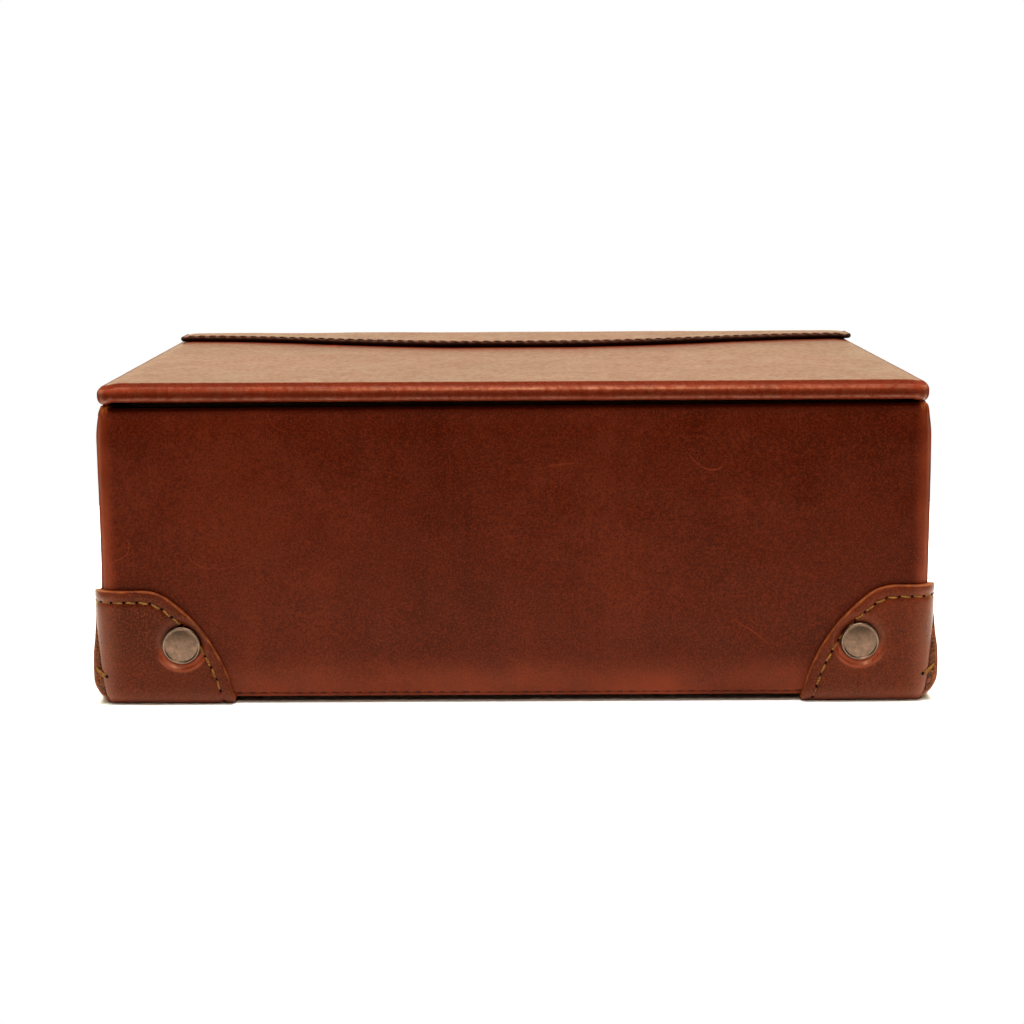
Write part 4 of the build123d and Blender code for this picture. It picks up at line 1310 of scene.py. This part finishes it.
# %% Leather recipe
def leather(name, dark, middle, light, bent, raw, rough=0.40, gloss=0.09, polish=0.0, waves=0.22,
            patchy=1.0, grainy=0.0, frayed=0.9, guard=False, walls=False, dulled=False):
    """Clouds and mottles between dark, middle and light; bent where it folds and where light is painted; raw
    at cut edges.

    rough and gloss set the shine, polish what a bend adds to it, and waves the broad relief. patchy and
    grainy say how uneven colour and shine are, and frayed how ragged a cut edge is.
    """
    r = Recipe(name)
    mottle = r.noise(70.0, 4.0, 0.6, distortion=0.4)
    tone = dye(r, mottle, patchy, walls)
    body = r.over(r.over(dark, tone, 0.38, 0.50, middle), tone, 0.50, 0.63, light)
    pores = r.noise(1800.0, 3.0, 0.65)
    body = r.over(body, pores, 0.50, 0.66, shade(dark, 0.55), 0.75)
    body = r.blend(r.ramp(pores, 0.34, 0.50, 0.60, 0.0), body, shade(light, 1.6))
    scratch = hairlines(r)
    body = r.blend(r.times(scratch, 0.5), body, bent)
    # This mark lays the bent tone both where the leather folds and as painted light: highlights, a floor
    # reflection, floor bounce and a ring below each rivet.
    fold = r.mark("bend")
    body = r.blend(r.times(fold, r.ramp(mottle, 0.25, 0.75, 0.55, 1.15)), body, bent)
    cut = r.times(r.mark("raw"), r.ramp(r.noise(240.0, 3.0, 0.65), 0.36, 0.62, frayed, 1.0))
    fibres = r.noise(2600.0, 4.0, 0.7)
    body = r.blend(cut, body, r.over(shade(raw, 0.45), fibres, 0.35, 0.65, raw))
    if guard:
        body = rivet_and_seam(r, body)
    shine = r.ramp(mottle, 0.3, 0.7, rough - 0.06 * patchy, rough + 0.08 * patchy)
    shine = r.math("SUBTRACT", r.math("ADD", shine, r.times(cut, 0.35)), r.times(fold, 0.15 * polish))
    level = r.math("ADD", r.times(fold, polish), gloss)
    if grainy:
        level = r.times(level, r.ramp(r.noise(560.0, 4.0, 0.65), 0.36, 0.64, 1 - grainy, 1 + grainy))
    # On the walls the rim under the lid is darkened towards a deep tone: painted shade.
    if walls:
        body = r.blend(r.times(r.mark("rim_shade"), 0.40), body, shade(dark, 0.35))
    if dulled:
        matt = r.mark("matt")
        level = r.times(level, r.math("SUBTRACT", 1.0, matt))
        shine = r.math("ADD", shine, r.times(matt, 0.4))
    relief = grain_relief(r, scratch, fibres, cut, waves)
    return r.set(Base_Color=body, Roughness=shine, Normal=relief,
                 Specular_IOR_Level=level, Specular_Tint=WAX_TINT)


# %% Four leathers
# On the walls the bent tone is partly painted light: highlights on the pleats and the upright corners, and
# floor bounce at the foot.
COVER_LEATHER = leather(
    "cover_leather", colour(60, 15, 4), colour(71, 20, 6), colour(83, 27, 10), bent=colour(132, 50, 22),
    raw=colour(176, 96, 50), rough=0.36, gloss=0.13, polish=0.20, walls=True, dulled=True,
)
# On the lid the bent tone is mostly painted light: the highlight on the rolled edge and the floor's
# reflection along its foot.
LID_LEATHER = leather(
    "lid_leather", colour(72, 21, 7), colour(80, 24, 8), colour(88, 28, 10), bent=colour(130, 46, 22),
    raw=colour(120, 58, 30), polish=0.75, waves=0.05, patchy=0.3, grainy=0.6, dulled=True,
)
# On the guards the bent tone is partly painted light: side light on the corner and the highlight below each
# rivet.
GUARD_LEATHER = leather(
    "guard_leather", colour(62, 20, 7), colour(76, 26, 10), colour(90, 34, 15), bent=colour(124, 50, 25),
    raw=colour(156, 82, 40), rough=0.38, gloss=0.14, polish=1.0, frayed=0.3, guard=True,
)
STRIP_LEATHER = leather(
    "strip_leather", colour(72, 21, 7), colour(80, 24, 8), colour(88, 30, 11), bent=colour(120, 50, 24),
    raw=colour(36, 15, 7), gloss=0.075, waves=0.05, patchy=0.4, grainy=0.55,
)
wall_band.data.materials.append(COVER_LEATHER)
lid_skin.data.materials.append(LID_LEATHER)
strip.data.materials.append(STRIP_LEATHER)
for guard in guards.values():
    guard["piece"].data.materials.append(GUARD_LEATHER)
print("leathers:", [leather.name for leather in (COVER_LEATHER, LID_LEATHER, GUARD_LEATHER, STRIP_LEATHER)])

# %% [markdown]
# ### Thread, needle holes and rivets
#
# The thread is mustard-olive and waxed, with darker fibres. The holes are painted shade, nearly black.
# The caps are plated brass with an old copper tone, cloudy with handling and brighter on the rim. Each
# is one or two noises between two tones, which is enough at their small size.

# %% Thread, hole and rivet recipes
def waxed_thread(name, dark, light):
    """Waxed twisted thread: fibres along it in two tones."""
    r = Recipe(name)
    fibre = r.noise(2600.0, 3.0, 0.7)
    body = r.over(dark, fibre, 0.35, 0.65, light)
    body = r.over(body, r.noise(160.0, 2.0), 0.55, 0.75, dark, 0.5)
    shine = r.ramp(fibre, 0.3, 0.7, 0.5, 0.75)
    return r.set(Base_Color=body, Roughness=shine, Normal=r.bump(fibre, 0.00012, 0.7),
                 Specular_IOR_Level=0.15)


def hole_shade():
    """A needle hole in painted shade: nearly black, with a few reddish crumbs."""
    r = Recipe("needle_hole")
    body = r.over(colour(16, 6, 3), r.noise(2400.0, 2.0, 0.6), 0.62, 0.72, colour(96, 34, 16))
    return r.set(Base_Color=body, Roughness=0.9, Specular_IOR_Level=0.05)


def old_copper():
    """Antiqued plating: cloudy grey-brown over copper, a little brighter and smoother on the rim."""
    r = Recipe("old_copper")
    cloud = r.noise(520.0, 5.0, 0.7)
    speck = r.noise(1500.0, 4.0, 0.7)
    body = r.over(colour(90, 73, 60), cloud, 0.30, 0.70, colour(118, 91, 74))
    body = r.over(body, speck, 0.50, 0.72, colour(70, 55, 46), 0.45)
    body = r.blend(r.times(r.mark("rim"), 0.3), body, colour(150, 132, 114))
    shine = r.math("SUBTRACT", r.ramp(cloud, 0.3, 0.7, 0.40, 0.34), r.times(r.mark("rim"), 0.12))
    return r.set(Base_Color=body, Metallic=1.0, Roughness=shine, Normal=r.bump(speck, 0.00003, 0.4))


OLIVE_THREAD = waxed_thread("olive_thread", colour(82, 52, 19), colour(158, 108, 44))
BROWN_THREAD = waxed_thread("brown_thread", colour(34, 13, 6), colour(66, 30, 14))
RED_THREAD = waxed_thread("red_thread", colour(44, 13, 6), colour(70, 22, 10))
wearers = [
    (OLIVE_THREAD, (guard_thread, dart_thread)),
    (BROWN_THREAD, (strip_lid_stitches, strip_wall_stitches)),
    (RED_THREAD, (foot_thread,)),
    (hole_shade(), (guard_holes, dart_holes, strip_lid_holes, strip_wall_holes)),
    (old_copper(), (rivet_caps,)),
]
for material, pieces in wearers:
    for piece in pieces:
        piece.data.materials.append(material)
    print(f"{material.name}: {len(pieces)} pieces")

# %% [markdown]
# ### The construction pieces
#
# Boards, linings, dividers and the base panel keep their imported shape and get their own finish: plain
# greyboard where the core shows, soft napped lining inside, and leather's flesh side under the base.
# A grey default would show wherever the lid is open, so even hidden faces get the right stuff.

# %% Board and lining recipes
def napped_lining(name, hollow, lit):
    """Suede: short nap brushed in patches, with a soft sheen."""
    r = Recipe(name)
    nap = r.noise(1900.0, 4.0, 0.75)
    body = r.over(hollow, r.noise(55.0, 4.0, 0.65), 0.20, 0.80, lit)
    body = r.over(body, nap, 0.4, 0.7, lit, 0.45)
    relief = r.bump(r.total((nap, 0.7), (r.noise(600.0, 3.0, 0.6), 0.5)), 0.0003, 0.6)
    return r.set(Base_Color=body, Roughness=0.92, Normal=relief, Specular_IOR_Level=0.1,
                 Sheen_Weight=0.25, Sheen_Roughness=0.5)


def greyboard():
    """Pressed fibre board: flecks and faint layers."""
    r = Recipe("greyboard")
    fleck = r.noise(900.0, 4.0, 0.7)
    layer = r.noise(60.0, 3.0, 0.6, place=r.squeeze((0.3, 0.3, 12.0)))
    body = r.over(colour(122, 98, 74), fleck, 0.35, 0.65, colour(160, 134, 104))
    body = r.over(body, layer, 0.45, 0.6, colour(104, 82, 60), 0.4)
    return r.set(Base_Color=body, Roughness=0.88, Normal=r.bump(fleck, 0.0002, 0.5), Specular_IOR_Level=0.15)


def flesh_side():
    """Leather seen from its back: fibrous and matt."""
    r = Recipe("leather_flesh_side")
    fibre = r.noise(700.0, 5.0, 0.7, distortion=0.8)
    body = r.over(colour(92, 46, 28), fibre, 0.35, 0.65, colour(140, 82, 54))
    body = r.over(body, r.noise(24.0, 3.0), 0.5, 0.7, colour(104, 54, 34), 0.5)
    return r.set(Base_Color=body, Roughness=0.85, Normal=r.bump(fibre, 0.0003, 0.6), Specular_IOR_Level=0.15)


LINING = napped_lining("napped_lining", colour(134, 92, 62), colour(160, 114, 80))
WALLS_AND_LID = ["base", "front", "rear", "left", "right", "lid"]
finishes = [
    (greyboard(), [f"{place}_panel" for place in WALLS_AND_LID]),
    (LINING, [f"{place}_lining" for place in WALLS_AND_LID] + ["long_divider", "cross_divider"]),
    (old_copper(), ["rivet_backs"]),
    (flesh_side(), ["base_cover"]),
]
for material, names in finishes:
    for node_name in names:
        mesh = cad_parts[node_name].data
        mesh.materials.clear()
        mesh.materials.append(material)
print("finished", sum(len(names) for material, names in finishes), "construction pieces")

# %% [markdown]
# ## Camera, floor and light
#
# A long lens looks slightly down at the box from in front, nearly square on. The floor is plain and
# pale. Most light comes from a wide soft source overhead, a little in front, so the lid is brightest
# and the front a good deal darker; the surroundings are white behind and dimmer in front, which
# lights up the lid's flat top at its grazing angle and keeps the front's colour deep.

# %% Camera
LENS, SENSOR = 72.0, 36.0
EYE = (-0.75, -722.5, 170.4)  # in mm
LOOK_DOWN, ROLL_BY = 9.695, -0.28  # in degrees

camera_data = bpy.data.cameras.new("camera")
camera_data.lens = LENS
camera_data.sensor_width = SENSOR
camera = bpy.data.objects.new("camera", camera_data)
tilt = Matrix.Rotation(radians(90 - LOOK_DOWN), 4, "X")
roll = Matrix.Rotation(radians(ROLL_BY), 4, "Z")
camera.matrix_world = Matrix.Translation(Vector(EYE) * MM) @ tilt @ roll
bpy.context.scene.collection.objects.link(camera)
bpy.context.scene.camera = camera
print(f"camera at {EYE} mm, looking {LOOK_DOWN} degrees down")

# %% Floor
FLOOR = 0.30

floor_mesh = bpy.data.meshes.new("floor")
floor_corners = [(-FLOOR, -FLOOR, 0), (FLOOR, -FLOOR, 0), (FLOOR, FLOOR, 0), (-FLOOR, FLOOR, 0)]
floor_mesh.from_pydata(floor_corners, [], [(0, 1, 2, 3)])
floor = bpy.data.objects.new("floor", floor_mesh)
bpy.context.scene.collection.objects.link(floor)
paper = Recipe("pale_paper")
pale = paper.blend(paper.noise(3.0), (0.93, 0.93, 0.93, 1), (0.95, 0.95, 0.95, 1))
floor_mesh.materials.append(paper.set(Base_Color=pale, Roughness=0.9, Specular_IOR_Level=0.0))

# %% Light
def soft_light(name, place, aim, size, power, tint=(1, 1, 1)):
    """A soft source of size (wide, deep) at place, turned to aim."""
    data = bpy.data.lights.new(name, "AREA")
    data.shape = "RECTANGLE"
    data.size, data.size_y = size
    data.color = tint
    data.energy = power
    lamp = bpy.data.objects.new(name, data)
    lamp.location = place
    lamp.rotation_mode = "QUATERNION"
    lamp.rotation_quaternion = (Vector(aim) - Vector(place)).to_track_quat("-Z", "Y")
    bpy.context.scene.collection.objects.link(lamp)


soft_light("overhead", (0.0, -0.07, 1.1), (0, -0.07, 0.05), (1.1, 0.42), 29.0)
soft_light("front_high", (0.05, -0.62, 0.52), (0, -0.08, 0.1), (0.24, 0.24), 1.7, (1.0, 0.80, 0.62))

# %% Surroundings
FRONT_GLOW, BACK_GLOW = 0.05, 2.1
GLOW_TINT = (1.0, 0.95, 0.62, 1)

world = bpy.data.worlds.new("studio")
bpy.context.scene.world = world
world.use_nodes = True
tree = world.node_tree
tree.nodes.clear()


def world_node(kind, **inputs):
    """A node of the surroundings; an input is called by i and its number."""
    node = tree.nodes.new(kind)
    for key, value in inputs.items():
        socket = node.inputs[int(key[1:])]
        if isinstance(value, bpy.types.NodeSocket):
            tree.links.new(value, socket)
        else:
            socket.default_value = value
    return node


direction = world_node("ShaderNodeTexCoord").outputs["Generated"]
axes = world_node("ShaderNodeSeparateXYZ", i0=direction).outputs
back = world_node("ShaderNodeMapRange", i0=axes[1], i1=-0.2, i2=0.6, i3=0.0, i4=1.0).outputs[0]
glow = world_node("ShaderNodeMix", i0=back, i2=FRONT_GLOW, i3=BACK_GLOW).outputs[0]
lighting = world_node("ShaderNodeBackground", i0=GLOW_TINT, i1=glow)
backdrop = world_node("ShaderNodeBackground", i0=(1, 1, 1, 1), i1=1.0)
seen = world_node("ShaderNodeLightPath").outputs["Is Camera Ray"]
mixed = world_node("ShaderNodeMixShader", i0=seen, i1=lighting.outputs[0], i2=backdrop.outputs[0])
world_node("ShaderNodeOutputWorld", i0=mixed.outputs[0])
bpy.context.scene.view_settings.view_transform = "Standard"
print("lights:", [light.name for light in bpy.data.lights])
